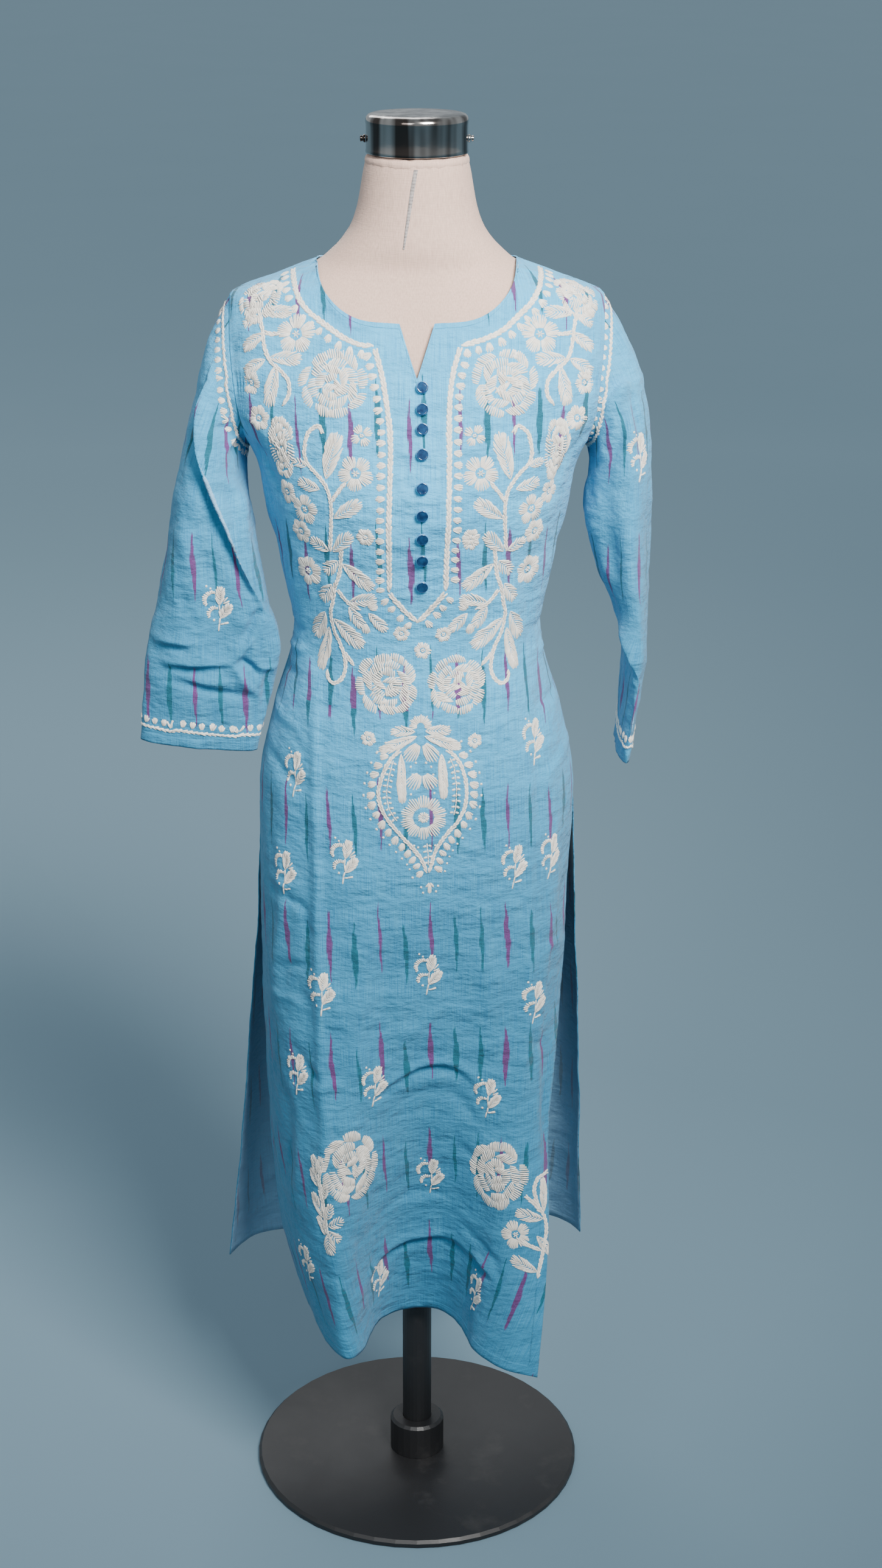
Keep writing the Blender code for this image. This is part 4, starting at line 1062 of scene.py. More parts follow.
def trailGround(tree, points):
    # A line over the cloth: a is the way to its right, b the way along it
    line = shareOut(points, np.linspace(0, 1, max(8, int(len(points) * 4))))
    run = runAlong(line)
    return {"tree": tree, "line": line, "run": run, "long": run[-1] * 1000}


def castLine(path):
    # Points of the front under a short list of x and z in millimetres
    hits = [hitAlongY(frontTree, x / 1000, z / 1000) for x, z in smoothLine(path, 14)]
    return [hit[0] for hit in hits if hit[0] is not None]


def pathGround(path):
    return trailGround(frontTree, castLine(path))


def spotOn(ground, a, b):
    tree = ground["tree"]
    if ground["line"] is None:
        place = ground["origin"] + ground["right"] * (a / 1000) + ground["up"] * (b / 1000)
        normal = ground["normal"]
        hit = tree.ray_cast(place + normal * 0.03, -normal, 0.07)
        if hit[0] is None:
            hit = tree.find_nearest(place)
        return hit[0], hit[1]
    line, run = ground["line"], ground["run"]
    s = min(max(b / 1000, 0), run[-1])
    here, ahead, behind = (Vector([np.interp(at, run, line[:, k]) for k in range(3)])
                           for at in (s, min(s + 0.001, run[-1]), max(s - 0.001, 0)))
    along = (ahead - behind).normalized()
    toRight = along.cross(tree.find_nearest(here)[1]).normalized()
    hit = tree.find_nearest(here + toRight * (a / 1000) + along * (b / 1000 - s))
    return hit[0], hit[1]


def sew(batch, ground, stitches):
    if ground is None:
        return
    for a0, b0, a1, b1, bow, wide, high in stitches:
        am, bm = (a0 + a1) / 2 - (b1 - b0) * bow, (b0 + b1) / 2 + (a1 - a0) * bow
        ends = [spotOn(ground, a, b) for a, b in ((a0, b0), (am, bm), (a1, b1))]
        normal = (ends[0][1] + ends[1][1] * 2 + ends[2][1]).normalized()
        batch.append([*ends[0][0], *ends[1][0], *ends[2][0], *normal, wide / 1000, high / 1000])


def threadPiece(name, batch, material):
    data = np.array(batch)
    p0, p1, p2, normal = (data[:, k:k + 3] for k in (0, 3, 6, 9))
    wide, high = data[:, 12, None], data[:, 13, None]
    t = np.array(strands["rings"])[None, :, None]
    line = (2 * (t - 0.5) * (t - 1) * p0[:, None] + 4 * t * (1 - t) * p1[:, None]
            + 2 * t * (t - 0.5) * p2[:, None])
    across = np.cross(np.gradient(line, axis=1), normal[:, None])
    across /= np.maximum(np.linalg.norm(across, axis=2, keepdims=True), 1e-9)
    turn = np.radians(strands["turns"])
    ringWide = np.cos(turn) * (np.array(strands["ringWide"]) * wide / 2)[..., None]
    ringHigh = np.sin(turn) * (np.array(strands["ringHigh"]) * high)[..., None] - strands["sunk"]
    points = (line[:, :, None] - across[:, :, None] * ringWide[..., None]
              + normal[:, None, None] * ringHigh[..., None])
    count, rings, turns = points.shape[:3]
    first = np.arange(count)[:, None, None] * rings * turns
    faces = (first + gridFaces(rings, turns)).reshape(-1, 4)
    run = runAlong(np.swapaxes(line, 0, 1)).T / strands["plyLength"]
    run += np.arange(count)[:, None] * 7.31  # each strand has a tone of its own
    uv = np.stack(np.broadcast_arrays(np.linspace(0, 1, turns)[None, None],
                                      run[..., None]), axis=3).reshape(-1, 2)
    addPiece(name, points, faces.tolist(), material, "thread", (("strand", uv[faces]),))
    print(name, count, "strands")


def strand(a0, b0, a1, b1, bow=0.0, wide=1.0, high=1.0):
    vary = needle.uniform
    return (a0 + vary(-0.15, 0.15), b0 + vary(-0.15, 0.15), a1 + vary(-0.45, 0.45),
            b1 + vary(-0.45, 0.45), bow, strands["wide"] * wide * vary(0.86, 1.1),
            strands["high"] * high * vary(0.75, 1.25))


def aimed(a, b, degrees, far):
    return a + far * math.cos(math.radians(degrees)), b + far * math.sin(math.radians(degrees))


def fanOf(a, b, aim, long, spread, count, foot=0.0, start=0.10, high=1.0):
    # Strands that open from a point, longest in the middle
    out = []
    for k in range(count):
        s = (k + 0.5) / count * 2 - 1
        side = aimed(a, b, aim - 90, -s * foot)
        inner = aimed(*side, aim + s * spread / 2, long * start)
        outer = aimed(*side, aim + s * spread / 2, long * (1 - 0.24 * s * s))
        out.append(strand(*inner, *outer, 0.09 * s, high=high * (1 - 0.15 * abs(s))))
    return out


def knot(a, b, size=1.7):
    out = []
    for k in range(2):
        tip = aimed(a, b, 50 + 75 * k + needle.uniform(-15, 15), size / 2)
        out.append((2 * a - tip[0], 2 * b - tip[1], *tip, 0, size * 0.75, 0.95))
    return out


def tacked(ground, long=2.6, gap=0.7, wide=0.55):
    # A row of machine stitches
    out = []
    b = 0.5
    while b + long < ground["long"]:
        out.append((0, b, 0, b + long, 0, wide, 0.32))
        b += long + gap
    return out


def leafOf(a, b, tipA, tipB, wide, count=None):
    # Slanting strands from the vein to both edges, towards the tip
    long = math.hypot(tipA - a, tipB - b)
    aim = math.degrees(math.atan2(tipB - b, tipA - a))
    count = count or max(4, round(long / 3.6))
    out = []
    for k in range(count):
        t = (k + 0.25) / count
        shape = math.sin(math.pi * min(1.0, 0.20 + t * 0.78)) ** 0.8
        for side in (-1, 1):
            shift = 0.12 * side / count
            edge = aimed(a, b, aim, long * min(1.02, t * 0.84 + 0.37 + shift))
            edge = aimed(*edge, aim + 90 * side, wide / 2 * shape * needle.uniform(0.92, 1.14))
            foot = aimed(*aimed(a, b, aim, long * (t + shift) * 0.84), aim - 90 * side, 0.3)
            out.append(strand(*foot, *edge, 0.07 * side, wide=0.95))
    out.append(strand(*aimed(a, b, aim, long * 0.78), *aimed(a, b, aim, long * 1.05)))
    return out


def chainAlong(ground, wide=4.4, step=4.6, back=False):
    # Strands that lean out from the middle to either hand in turn, like an ear of wheat
    out = []
    end, b, side = ground["long"], 0.0, 1
    while b < end - step * 0.4:
        foot, tip = (b + step * 0.9, b - step * 0.6) if back else (b - step * 0.4, b + step * 1.1)
        out.append(strand(-side * wide * 0.06, min(max(foot, 0), end), side * wide * 0.34,
                          min(max(tip, 0), end), 0.06 * side, wide=wide * 0.26))
        b += step / 2
        side = -side
    return out


def budsAlong(ground, side, step, long, spread, count, away, start=4.0, lean=0.0, dots=0.0):
    out = []
    b = start
    while b < ground["long"] - 2:
        aim = (0 if side > 0 else 180) + side * lean
        out += fanOf(side * away, b + needle.uniform(-0.4, 0.4), aim + needle.uniform(-6, 6),
                     long * needle.uniform(0.92, 1.08), spread, count)
        if dots:
            out += knot(side * (away + long + dots), b + step / 2 - 1.5, 2.6)
        b += step
    return out


def beadsAlong(ground):
    out = []
    b = 1.0
    while b < ground["long"] - 1.5:
        out.append(strand(0, b - 2.6, 0, b + 3.6, wide=0.8, high=0.8))
        out += [strand(side * 1.0, b, side * 4.4, b + 1.2, wide=1.35) for side in (-1, 1)]
        b += 6.0
    return out


# A rose's rings of petals from the rim inwards: tip and length as shares of the radius, how
# many petals, how far they lean
roseRings = ((0.960, 0.29, 9, 0.18), (0.725, 0.29, 7, -0.30), (0.495, 0.28, 5, 0.35),
             (0.270, 0.25, 3, -0.50))


def roseOf(rx, ry, seed):
    # Round petals that lap over the ones outside them, each with strands side by side
    chance = random.Random(seed)
    radius = (rx + ry) / 2
    out = []
    for ring, (tip, long, petals, lean) in enumerate(roseRings):
        shift = chance.uniform(0, 6.28)
        for petal in range(petals):
            angle = shift + (petal + chance.uniform(-0.12, 0.12)) / petals * 2 * math.pi
            far = (tip + chance.uniform(-0.035, 0.045)) * radius
            near = far - long * radius * chance.uniform(0.92, 1.10)
            half = math.pi * (tip - 0.09) * radius / petals * 0.94
            curl = (lean + chance.uniform(-0.45, 0.45)) * (far - near)
            count = max(4, round(half / 1.08))
            for k in range(count):
                s = (k + 0.5) / count * 2 - 1
                ends = []
                for out1, side in ((near + (far - near) * 0.06 * s * s, s * half * 0.88),
                                   (far - (far - near) * 0.40 * s * s, s * half + curl)):
                    ends += [(out1 * math.cos(angle) - side * math.sin(angle)) * rx / radius,
                             (out1 * math.sin(angle) + side * math.cos(angle)) * ry / radius]
                out.append(strand(*ends, 0.05 * s, wide=0.98,
                                  high=(1.30 + 0.14 * ring) * (1 - 0.40 * s * s)))
    return out


def daisyOf(inner, outer, petals, count, turn=0.0, heart=True, squash=1.0):
    # Round petals, each a close fan of strands; count is the fewest in one
    out = []
    for petal in range(petals):
        aim = turn + petal * 360 / petals
        spread = min(300 / petals, 64)
        long = outer - inner * 0.6
        count = max(count, round(long * math.radians(spread) / 1.9))
        out += fanOf(*aimed(0, 0, aim, inner * 0.6), aim, long, spread, count,
                     foot=outer * 0.09)
    if heart:
        for k in range(6):
            out.append(strand(*aimed(0, 0, k * 60, 0.4), *aimed(0, 0, k * 60, inner * 0.66),
                              wide=0.85))
    return [(a0, b0 * squash, a1, b1 * squash, bow, w, h) for a0, b0, a1, b1, bow, w, h in out]


def combOf(a, b, radius, start, end, long, count):
    # A crescent of short strands side by side
    out = []
    for k in range(count):
        angle = start + (end - start) * (k + 0.5) / count
        swell = 0.6 + 0.4 * math.sin(math.pi * (k + 0.5) / count)
        out.append(strand(*aimed(a, b, angle, radius - long * 0.5 * swell),
                          *aimed(a, b, angle + 8, radius + long * 0.5 * swell)))
    return out


def sprigOf():
    # Two crescents and two leaves on one stem, with seeds
    out = combOf(-4.0, 8.5, 8.0, 215, 62, 5.2, 12)
    out += leafOf(1.8, 2.0, 5.6, 21.5, 9.5, 8)
    out += combOf(-3.2, -6.5, 6.2, 205, 50, 4.8, 9)
    out += leafOf(1.5, -12.5, 13.5, 3.0, 9.5, 8)
    out += [strand(6.5, 5.5, 11.5, 11.0), strand(6.0, 3.5, 12.6, 6.5)]
    out += knot(-8.5, 23.5, 2.6) + knot(-4.8, 20.5, 2.4) + knot(-4.6, 17.2, 2.2)
    out += knot(-4.6, -13.0, 2.8)
    out += [strand(1.8, 2.5, 1.4, -5.0), strand(1.4, -4.0, 1.6, -12.0),
            strand(1.6, -11.5, 0.0, -18.0), strand(0.2, -17.0, -1.2, -25.0),
            strand(1.2, -18.2, 5.0, -17.6), strand(4.4, -17.8, 9.6, -16.2, wide=1.5)]
    return out


def sewAt(batch, x, z, stitches, tree=frontTree, **how):
    # Stitches about x and z in millimetres; how they lie: side, turn, mirror
    sew(batch, flatGround(tree, x, z, **how), stitches)


def mirrored(x, mirror):
    # The yoke's own middle is 1 mm right of the garment's
    return x * mirror + (2.0 if mirror < 0 else 0)


def stemOn(batch, path, mirror=1):
    points = castLine([(mirrored(x, mirror), z) for x, z in path])
    if len(points) > 3:
        ground = trailGround(frontTree, points)
        sew(batch, ground, chainAlong(ground, back=True))


def leafAt(batch, x0, z0, x1, z1, wide, mirror=1, grow=1.0):
    dx, dz = (x1 - x0) / 2 * grow, (z1 - z0) / 2 * grow
    sewAt(batch, mirrored((x0 + x1) / 2, mirror), (z0 + z1) / 2, leafOf(-dx, -dz, dx, dz, wide),
          mirror=mirror)


yoke, skirtWork, sleeveWork = [], [], []

# Chain border with tulip buds round the neck and down to the point under the buttons
neckBorder = {
    "left": ((-118.5, 1344), (-114.3, 1328.9), (-105, 1314.5), (-90.6, 1304.2), (-70.8, 1291.7),
             (-56, 1285.6), (-40.2, 1283.6)),
    "leftDown": ((-39.5, 1282), (-32, 1254), (-27, 1222), (-25, 1200), (-25.6, 1157),
                 (-26.6, 1122), (-26.6, 1084), (-26.6, 1050)),
    "leftTip": ((-26.6, 1049), (-13.0, 1032), (0.5, 1018.5)),
    "right": ((118.0, 1346), (116.4, 1333), (107.5, 1319), (94.5, 1308.3), (81.4, 1297.2),
              (63.5, 1289.5), (41.2, 1284.3)),
    "rightDown": ((40.5, 1283), (32.5, 1254), (30.2, 1221), (30.4, 1179), (29.8, 1123),
                  (28.4, 1090), (27.6, 1052)),
    "rightTip": ((27.6, 1051), (13.5, 1033), (0.5, 1018.5)),
    "budStep": 10.6, "budLong": 10.0, "budSpread": 50,
}
for key, side in (("left", 1), ("leftDown", 1), ("leftTip", 1),
                  ("right", -1), ("rightDown", -1), ("rightTip", -1)):
    ground = pathGround(neckBorder[key])
    sew(yoke, ground, chainAlong(ground, 5.6, 5.6, back=True))
    sew(yoke, ground, budsAlong(ground, side, neckBorder["budStep"], neckBorder["budLong"],
                                neckBorder["budSpread"], 5, 3.4, lean=8))

# Big roses: x, z, half width, half height in millimetres
roses = {
    "yoke": ((-78.5, 1250.8, 34, 34, 3), (82.5, 1250.8, 34, 34, 4), (-29.7, 955.5, 33, 33, 5),
             (39.8, 953.8, 31, 31, 6), (-129.0, 1187.0, 16, 33, 7), (133.0, 1184.0, 16, 34, 8),
             (-149.0, 1322.0, 24, 27, 9), (152.0, 1323.0, 24, 27, 10)),
    "skirt": ((-68.0, 432.0, 35, 45, 11), (83.0, 411.0, 33, 42, 12)),
}
for batch, places in ((yoke, roses["yoke"]), (skirtWork, roses["skirt"])):
    for x, z, rx, ry, seed in places:
        sewAt(batch, x, z, roseOf(rx, ry, seed))

# Vines, the same on both sides of the placket: stems, leaves, flowers on the left half
vines = {
    "stems": (
        ((-149.8, 1311.5), (-146.2, 1293.9), (-143.9, 1277.9), (-138.2, 1266.1), (-130.4, 1260.5),
         (-121.5, 1250.9), (-120.5, 1238.3), (-127.3, 1227.1)),
        ((-144.6, 1291.5), (-136.5, 1290.5), (-128.5, 1291.5)),
        ((-88.6, 1204.1), (-92.9, 1211.4), (-103.0, 1203.1), (-106.5, 1185.2), (-103.3, 1174.4),
         (-93.4, 1164.2), (-84.7, 1151.5), (-81.5, 1136.1), (-81.8, 1119.3), (-83.2, 1088.1)),
        ((-81.5, 1140.0), (-75.0, 1150.0), (-67.0, 1160.0)),
        ((-72.3, 1092.0), (-74.5, 1067.0), (-79.6, 1050.3), (-81.8, 1033.8), (-83.8, 1022.9),
         (-80.4, 1003.9), (-74.4, 990.5), (-70.9, 977.8), (-70.4, 965.9), (-74.7, 955.6),
         (-82.2, 950.8), (-87.7, 955.8), (-87.7, 963.0)),
        ((-77.2, 1049.3), (-66.5, 1036.2), (-54.0, 1030.0)),
        ((-70.9, 983.1), (-61.1, 971.0)),
    ),
    # foot x, z, tip x, z, width
    "leaves": (
        (-147, 1309, -119, 1311, 12), (-150, 1305, -165, 1296, 11), (-144, 1291, -165, 1275, 12),
        (-139, 1270, -110, 1270, 13), (-143, 1268, -165, 1254, 12), (-135, 1263, -139, 1228, 13),
        (-86, 1163, -76, 1203, 15), (-91, 1151, -114, 1156, 12), (-80, 1124, -54, 1141, 13),
        (-84, 1089, -102, 1098, 12), (-82, 1089, -62, 1108, 13), (-75, 1079, -90, 1066, 13),
        (-71, 1077, -44, 1054, 14), (-80, 1054, -95, 1036, 13), (-66, 1037, -40, 1043, 12),
        (-65, 1032, -54, 1012, 12), (-46, 1027, -31, 1010, 11), (-81, 1017, -54, 992, 15),
        (-83, 1006, -95, 965, 12), (-85, 1023, -103, 995, 16), (-104, 1172, -118, 1176, 9),
    ),
    # x, z, radius, petals, turn
    "flowers": (
        (-113.7, 1292, 20, 5, 20), (-157, 1245, 12, 6, 0), (-150, 1213, 13, 6, 15),
        (-58, 1169, 18, 5, 50), (-107, 1129, 16, 5, 10), (-49, 1107, 9.5, 6, 0),
        (-105, 1064, 16.5, 6, 15), (-124, 1143, 13, 5, 40), (-111, 1105, 13, 6, 0),
        (-52, 1204, 11, 4, 30),
    ),
    "buds": ((-47, 1031, 40, 11, 80, 8), (-49.8, 1017, 270, 13, 50, 6)),
}
for mirror in (1, -1):
    for path in vines["stems"]:
        stemOn(yoke, path, mirror)
    for *ends, wide in vines["leaves"]:
        leafAt(yoke, *ends, wide * 1.08, mirror, needle.uniform(1.04, 1.14))
    for x, z, radius, petals, turn in vines["flowers"]:
        sewAt(yoke, mirrored(x, mirror), z, daisyOf(radius * 0.30, radius, petals,
                                                   7 if radius > 12 else 5, turn), mirror=mirror)
    for x, z, aim, long, spread, count in vines["buds"]:
        sewAt(yoke, mirrored(x, mirror), z, fanOf(0, 0, aim, long, spread, count), mirror=mirror)

# Small stars: x, z, radius
stars = {
    "petals": 6,
    "places": ((-49.5, 1107.5, 9), (51.0, 1102, 9), (-47.7, 901, 8), (56.7, 898, 8),
               (-15.0, 1007, 8.5), (25.5, 1006, 8.5), (5.5, 989.5, 9)),
}
for x, z, radius in stars["places"]:
    sewAt(yoke, x, z, daisyOf(radius * 0.35, radius, stars["petals"], 4, needle.uniform(0, 60)))

# Hanging drop in front of the waist, about its own middle line
drop = {
    "left": ((-16, 891), (-27, 880), (-34.5, 864), (-38, 847.5), (-36.5, 834), (-30, 820),
             (-19, 806), (-6, 791), (4.5, 777), (10.0, 762)),
    "right": ((29, 891.5), (39.5, 881), (46.5, 865), (49, 848), (47, 831), (39.5, 816),
              (28, 802), (19, 787), (14.5, 773), (12.0, 762)),
    "beadsLeft": ((-23.5, 879), (-27.5, 864), (-29.7, 849), (-29.0, 836), (-24.6, 825), (-19, 816)),
    "beadsRight": ((33.0, 881), (37.0, 870), (38.6, 854), (38.6, 838), (36.5, 823)),
    "leaves": ((-1, 909.5, -25, 909.5, 10), (1, 905, -36, 890, 10.5), (8, 910.5, 33, 910.5, 11),
               (7, 905.5, 42, 893.5, 11), (-15.3, 888, -14.6, 838, 8), (24.5, 888, 26.2, 842, 8)),
    "fans": ((3, 899, 236, 24, 40, 7), (6, 899, 304, 24, 40, 7), (3.4, 868, 238, 20, 52, 7),
             (6.6, 868, 302, 20, 52, 7)),
    "middle": (6.5, 840), "flower": (6.5, 821.5, 24.0, 10),
    "tail": ((10, 793), (11, 782), (11.5, 771)), "tailFans": (12.7, 748, (7, 13, 7)),
    # petals of the flower on top: x, z, how many, the first one's aim, the next one's turn
    "topFlower": (-2.5, 75, 7, -5, 31.5),
    "knots": ((-6, 874), (-1, 878), (9, 878), (14, 874), (-7, 862), (-4, 866), (16, 866),
              (18, 862), (-6, 846), (17, 847), (-3, 792), (1, 790), (18, 792), (22, 795),
              (4, 747), (21, 748), (6, 741), (19, 742)),
}
for key, side in (("left", 1), ("right", -1)):
    ground = pathGround(drop[key])
    sew(yoke, ground, chainAlong(ground, 4.2, 4.6, back=True))
    sew(yoke, ground, budsAlong(ground, side, 9.6, 10.5, 46, 6, 2.6, start=3.0, lean=28, dots=2.0))
for key in ("beadsLeft", "beadsRight"):
    ground = pathGround(drop[key])
    sew(yoke, ground, beadsAlong(ground))
midX, midZ = drop["middle"]
dropGround = flatGround(frontTree, midX, midZ)
for x0, z0, x1, z1, wide in drop["leaves"]:
    sew(yoke, dropGround, leafOf(x0 - midX, z0 - midZ, x1 - midX, z1 - midZ, wide))
for x, z, aim, long, spread, count in drop["fans"]:
    sew(yoke, dropGround, fanOf(x - midX, z - midZ, aim, long, spread, count, foot=1.2))
x, z, petals, firstAim, nextAim = drop["topFlower"]
for k in range(petals):
    aim = firstAim + k * nextAim
    sew(yoke, dropGround, fanOf(*aimed(x, z, aim, 2.5), aim, 9.5, 26, 3, foot=0.6))
x, z, radius, petals = drop["flower"]
sewAt(yoke, x, z, daisyOf(radius * 0.58, radius, petals, 5, 18, heart=False))
sewAt(yoke, x, z, daisyOf(1.6, 6.0, 8, 2, 0))
for x, z in drop["knots"]:
    sew(yoke, dropGround, knot(x - midX, z - midZ, 2.6))
x, z, longs = drop["tailFans"]
for s, long in zip((-1, 0, 1), longs):
    sewAt(yoke, x, z, fanOf(0, 4, 270 + s * 34, long, 14, 3))
ground = pathGround(drop["tail"])
sew(yoke, ground, beadsAlong(ground))

# Sprigs scattered over the skirt, the back and the sleeves: x, z, turn
sprigs = {
    "front": ((-122.6, 855, 6), (115.4, 888, -4), (-134.8, 749, 4), (-73.4, 773, 0), (96.9, 763, 0),
              (134.7, 765, -6), (10.5, 648, 0), (120.6, 609, -2), (-98.3, 630, 4),
              (-124.6, 531, 2), (-44.5, 523, 0), (72.1, 501, 0), (13.6, 396, 2),
              (-117.4, 306, 4), (-41.3, 270, 8), (61.9, 266, -10)),
    "back": ((-100, 1205), (0, 1225), (100, 1208), (-55, 1125), (60, 1122), (-105, 1040), (0, 1030),
             (105, 1042), (-58, 930), (62, 928), (-118, 840), (0, 832), (118, 842), (-62, 735),
             (64, 738), (-125, 640), (2, 632), (128, 642), (-64, 540), (66, 536), (-140, 445),
             (0, 440), (138, 446), (-66, 345), (70, 340), (-168, 256), (0, 262), (150, 262)),
    "left": (-196.5, 1018),
    "right": (214.5, 1170),
    "sleeveBack": ((200, 1120), (214, 970)),
}
for x, z, turn in sprigs["front"]:
    sewAt(skirtWork, x, z, sprigOf(), turn=turn)
for x, z in sprigs["back"]:
    turn = needle.uniform(-6, 6)
    sewAt(skirtWork, x, z, sprigOf(), backTree, side=1, turn=turn)
sewAt(sleeveWork, *sprigs["left"], sprigOf(), leftTree, turn=4)
sewAt(sleeveWork, *sprigs["right"], sprigOf(), rightTree, turn=-6)
for x, z in sprigs["sleeveBack"]:
    sewAt(sleeveWork, -x, z, sprigOf(), leftTree, side=1, turn=-5)
    sewAt(sleeveWork, x, z, sprigOf(), rightTree, side=1, turn=5)

# Stalks beside the two hem roses
hemStalks = {
    "stems": (((-101.3, 438), (-101.3, 408), (-98, 392), (-95.5, 372), (-94, 356)),
              ((140, 412), (127, 409), (123, 396), (128, 380), (134, 368), (136, 355),
               (133, 335), (126.6, 306)),
              ((113, 392), (122, 384), (131, 373)), ((103.7, 345), (116, 340), (131, 334))),
    "leaves": ((133, 366, 104, 374, 13), (127, 312, 99, 325, 13), (134, 350, 150, 330, 10),
               (139, 372, 143, 408, 8), (-104, 424, -109, 446, 9), (-101.5, 426, -100, 447, 8),
               (-102, 411, -111.5, 430, 10), (-98, 396, -94.5, 416, 9), (-97.2, 374, -109, 402, 10),
               (-95.6, 354, -103, 376, 7), (-94, 374, -90, 393, 10), (-93, 367, -77, 374, 14),
               (-93, 362, -81, 349, 12), (-93.2, 358, -91.5, 333, 13)),
    "flower": (103.7, 349.5, 16.5, 5),
}
for path in hemStalks["stems"]:
    stemOn(skirtWork, path)
for leaf in hemStalks["leaves"]:
    leafAt(skirtWork, *leaf)
x, z, radius, petals = hemStalks["flower"]
sewAt(skirtWork, x, z, daisyOf(radius * 0.3, radius, petals, 8, 40))
print("front and back sewn")

# Borders along both armholes, on the sleeve's side, and round both cuffs
sleeveBorder = {"fromSeam": 0.007, "cuffUp": 0.016, "budStep": 10.0, "budLong": 8.8}
for grid, tree in ((leftGrid, leftTree), (rightGrid, rightTree)):
    columns = np.arange(grid.shape[1])
    top = len(grid) - 1 - np.argmax(runAlong(grid[::-1]) > sleeveBorder["fromSeam"], axis=0)
    low = np.argmax(runAlong(grid) > sleeveBorder["cuffUp"], axis=0)
    # buds point down the sleeve at the armhole and up it at the cuff
    for rows, wantUp in ((top, False), (low, True)):
        ring = grid[rows, columns]
        ground = trailGround(tree, [Vector(p) for p in (*ring, ring[0])])
        sew(sleeveWork, ground, chainAlong(ground, 4.8, 5.2))
        probe, middle = (spotOn(ground, a, ground["long"] / 4)[0] for a in (6, 0))
        side = 1 if (probe.z > middle.z) == wantUp else -1
        sew(sleeveWork, ground, budsAlong(ground, side, sleeveBorder["budStep"],
                                          sleeveBorder["budLong"], 54, 5, 3.0))

threadPiece("yokeEmbroidery", yoke, creamThread)
threadPiece("skirtEmbroidery", skirtWork, creamThread)
threadPiece("sleeveEmbroidery", sleeveWork, creamThread)

# Machine sewing along the neck, the hems, the slits, the cuffs and the placket
tacks = {
    "neckIn": 0.005, "hemUp": 0.0098, "slitIn": 0.0098, "cuffUp": 0.0098,
    "placket": (((3.6, 1250), (3.4, 1150), (3.2, 1046)),
                ((30.0, 1243), (29.4, 1140), (28.6, 1050)),
                ((3.4, 1044), (16, 1043.5), (28.2, 1044))),
}
trails = []
for grid, tree in ((frontGrid, frontTree), (backGrid, backTree)):
    neck = [p for p in insetLine(grid[::-1], tacks["neckIn"]) if abs(p.x) < 0.093 and p.z > 1.25]
    low = np.swapaxes(grid[:fineness["skirtRows"] + 1], 0, 1)
    trails += [(tree, neck), (tree, insetLine(grid, tacks["hemUp"])[2:-2])]
    trails += [(tree, insetLine(part, tacks["slitIn"])[2:]) for part in (low, low[::-1])]
trails += [(frontTree, castLine(path)) for path in tacks["placket"]]
for grid, tree in ((leftGrid, leftTree), (rightGrid, rightTree)):
    line = insetLine(grid, tacks["cuffUp"])
    trails.append((tree, line + line[:1]))
sewing = []
for tree, line in trails:
    ground = trailGround(tree, line)
    sew(sewing, ground, tacked(ground))
threadPiece("machineSewing", sewing, blueThread)


# Dress form: a finer cover over the frame's torso, a rolled edge under the cap and a tape
form = {
    "smoothing": 2, "settle": 14, "settleFrom": 1.30, "settleTo": 1.4485,
    "roll": {"height": 1.4435, "wide": 0.0490, "deep": 0.0478, "thick": 0.0045, "droop": 0.0022,
             "wrinkles": 0.0011},
    # the tape: x and z down the front of the neck, its half width at each point
    "tape": ((-0.0010, 1.4400, 0.0021), (-0.0040, 1.4230, 0.0021), (-0.0072, 1.4020, 0.0018),
             (-0.0100, 1.3840, 0.0015), (-0.0125, 1.3680, 0.0009)),
}
capSizes = {
    # half section of the cap: radius, height
    "section": ((0.0452, 1.4497), (0.0478, 1.4499), (0.0486, 1.4506), (0.0487, 1.4520),
                (0.0484, 1.4540), (0.0483, 1.4700), (0.0484, 1.4760), (0.0488, 1.4790),
                (0.0487, 1.4812), (0.0478, 1.4836), (0.0462, 1.4852), (0.0440, 1.4859),
                (0.0300, 1.4862), (0.0120, 1.4863), (0.0008, 1.4863)),
    "sides": 96, "screwZ": 1.463, "screwFrom": 0.0485, "screwSides": 24,
    # a screw's half section: radius, distance out from the cap
    "screw": ((0.0036, 0.0001), (0.0038, 0.0008), (0.0036, 0.0018), (0.0026, 0.0026),
              (0.0024, 0.0036), (0.0030, 0.0042), (0.0028, 0.0050), (0.0014, 0.0053),
              (0.0003, 0.0053)),
}


def lathe(section, sides):
    # A shape turned round Z from radii and heights, closed at both ends
    turns = [2 * math.pi * k / sides for k in range(sides)]
    points = [(radius * math.cos(turn), radius * math.sin(turn), height)
              for radius, height in section for turn in turns]
    faces = gridFaces(len(section), sides, around=True).tolist()
    return points, faces + [list(range(sides))[::-1],
                            list(range((len(section) - 1) * sides, len(section) * sides))]


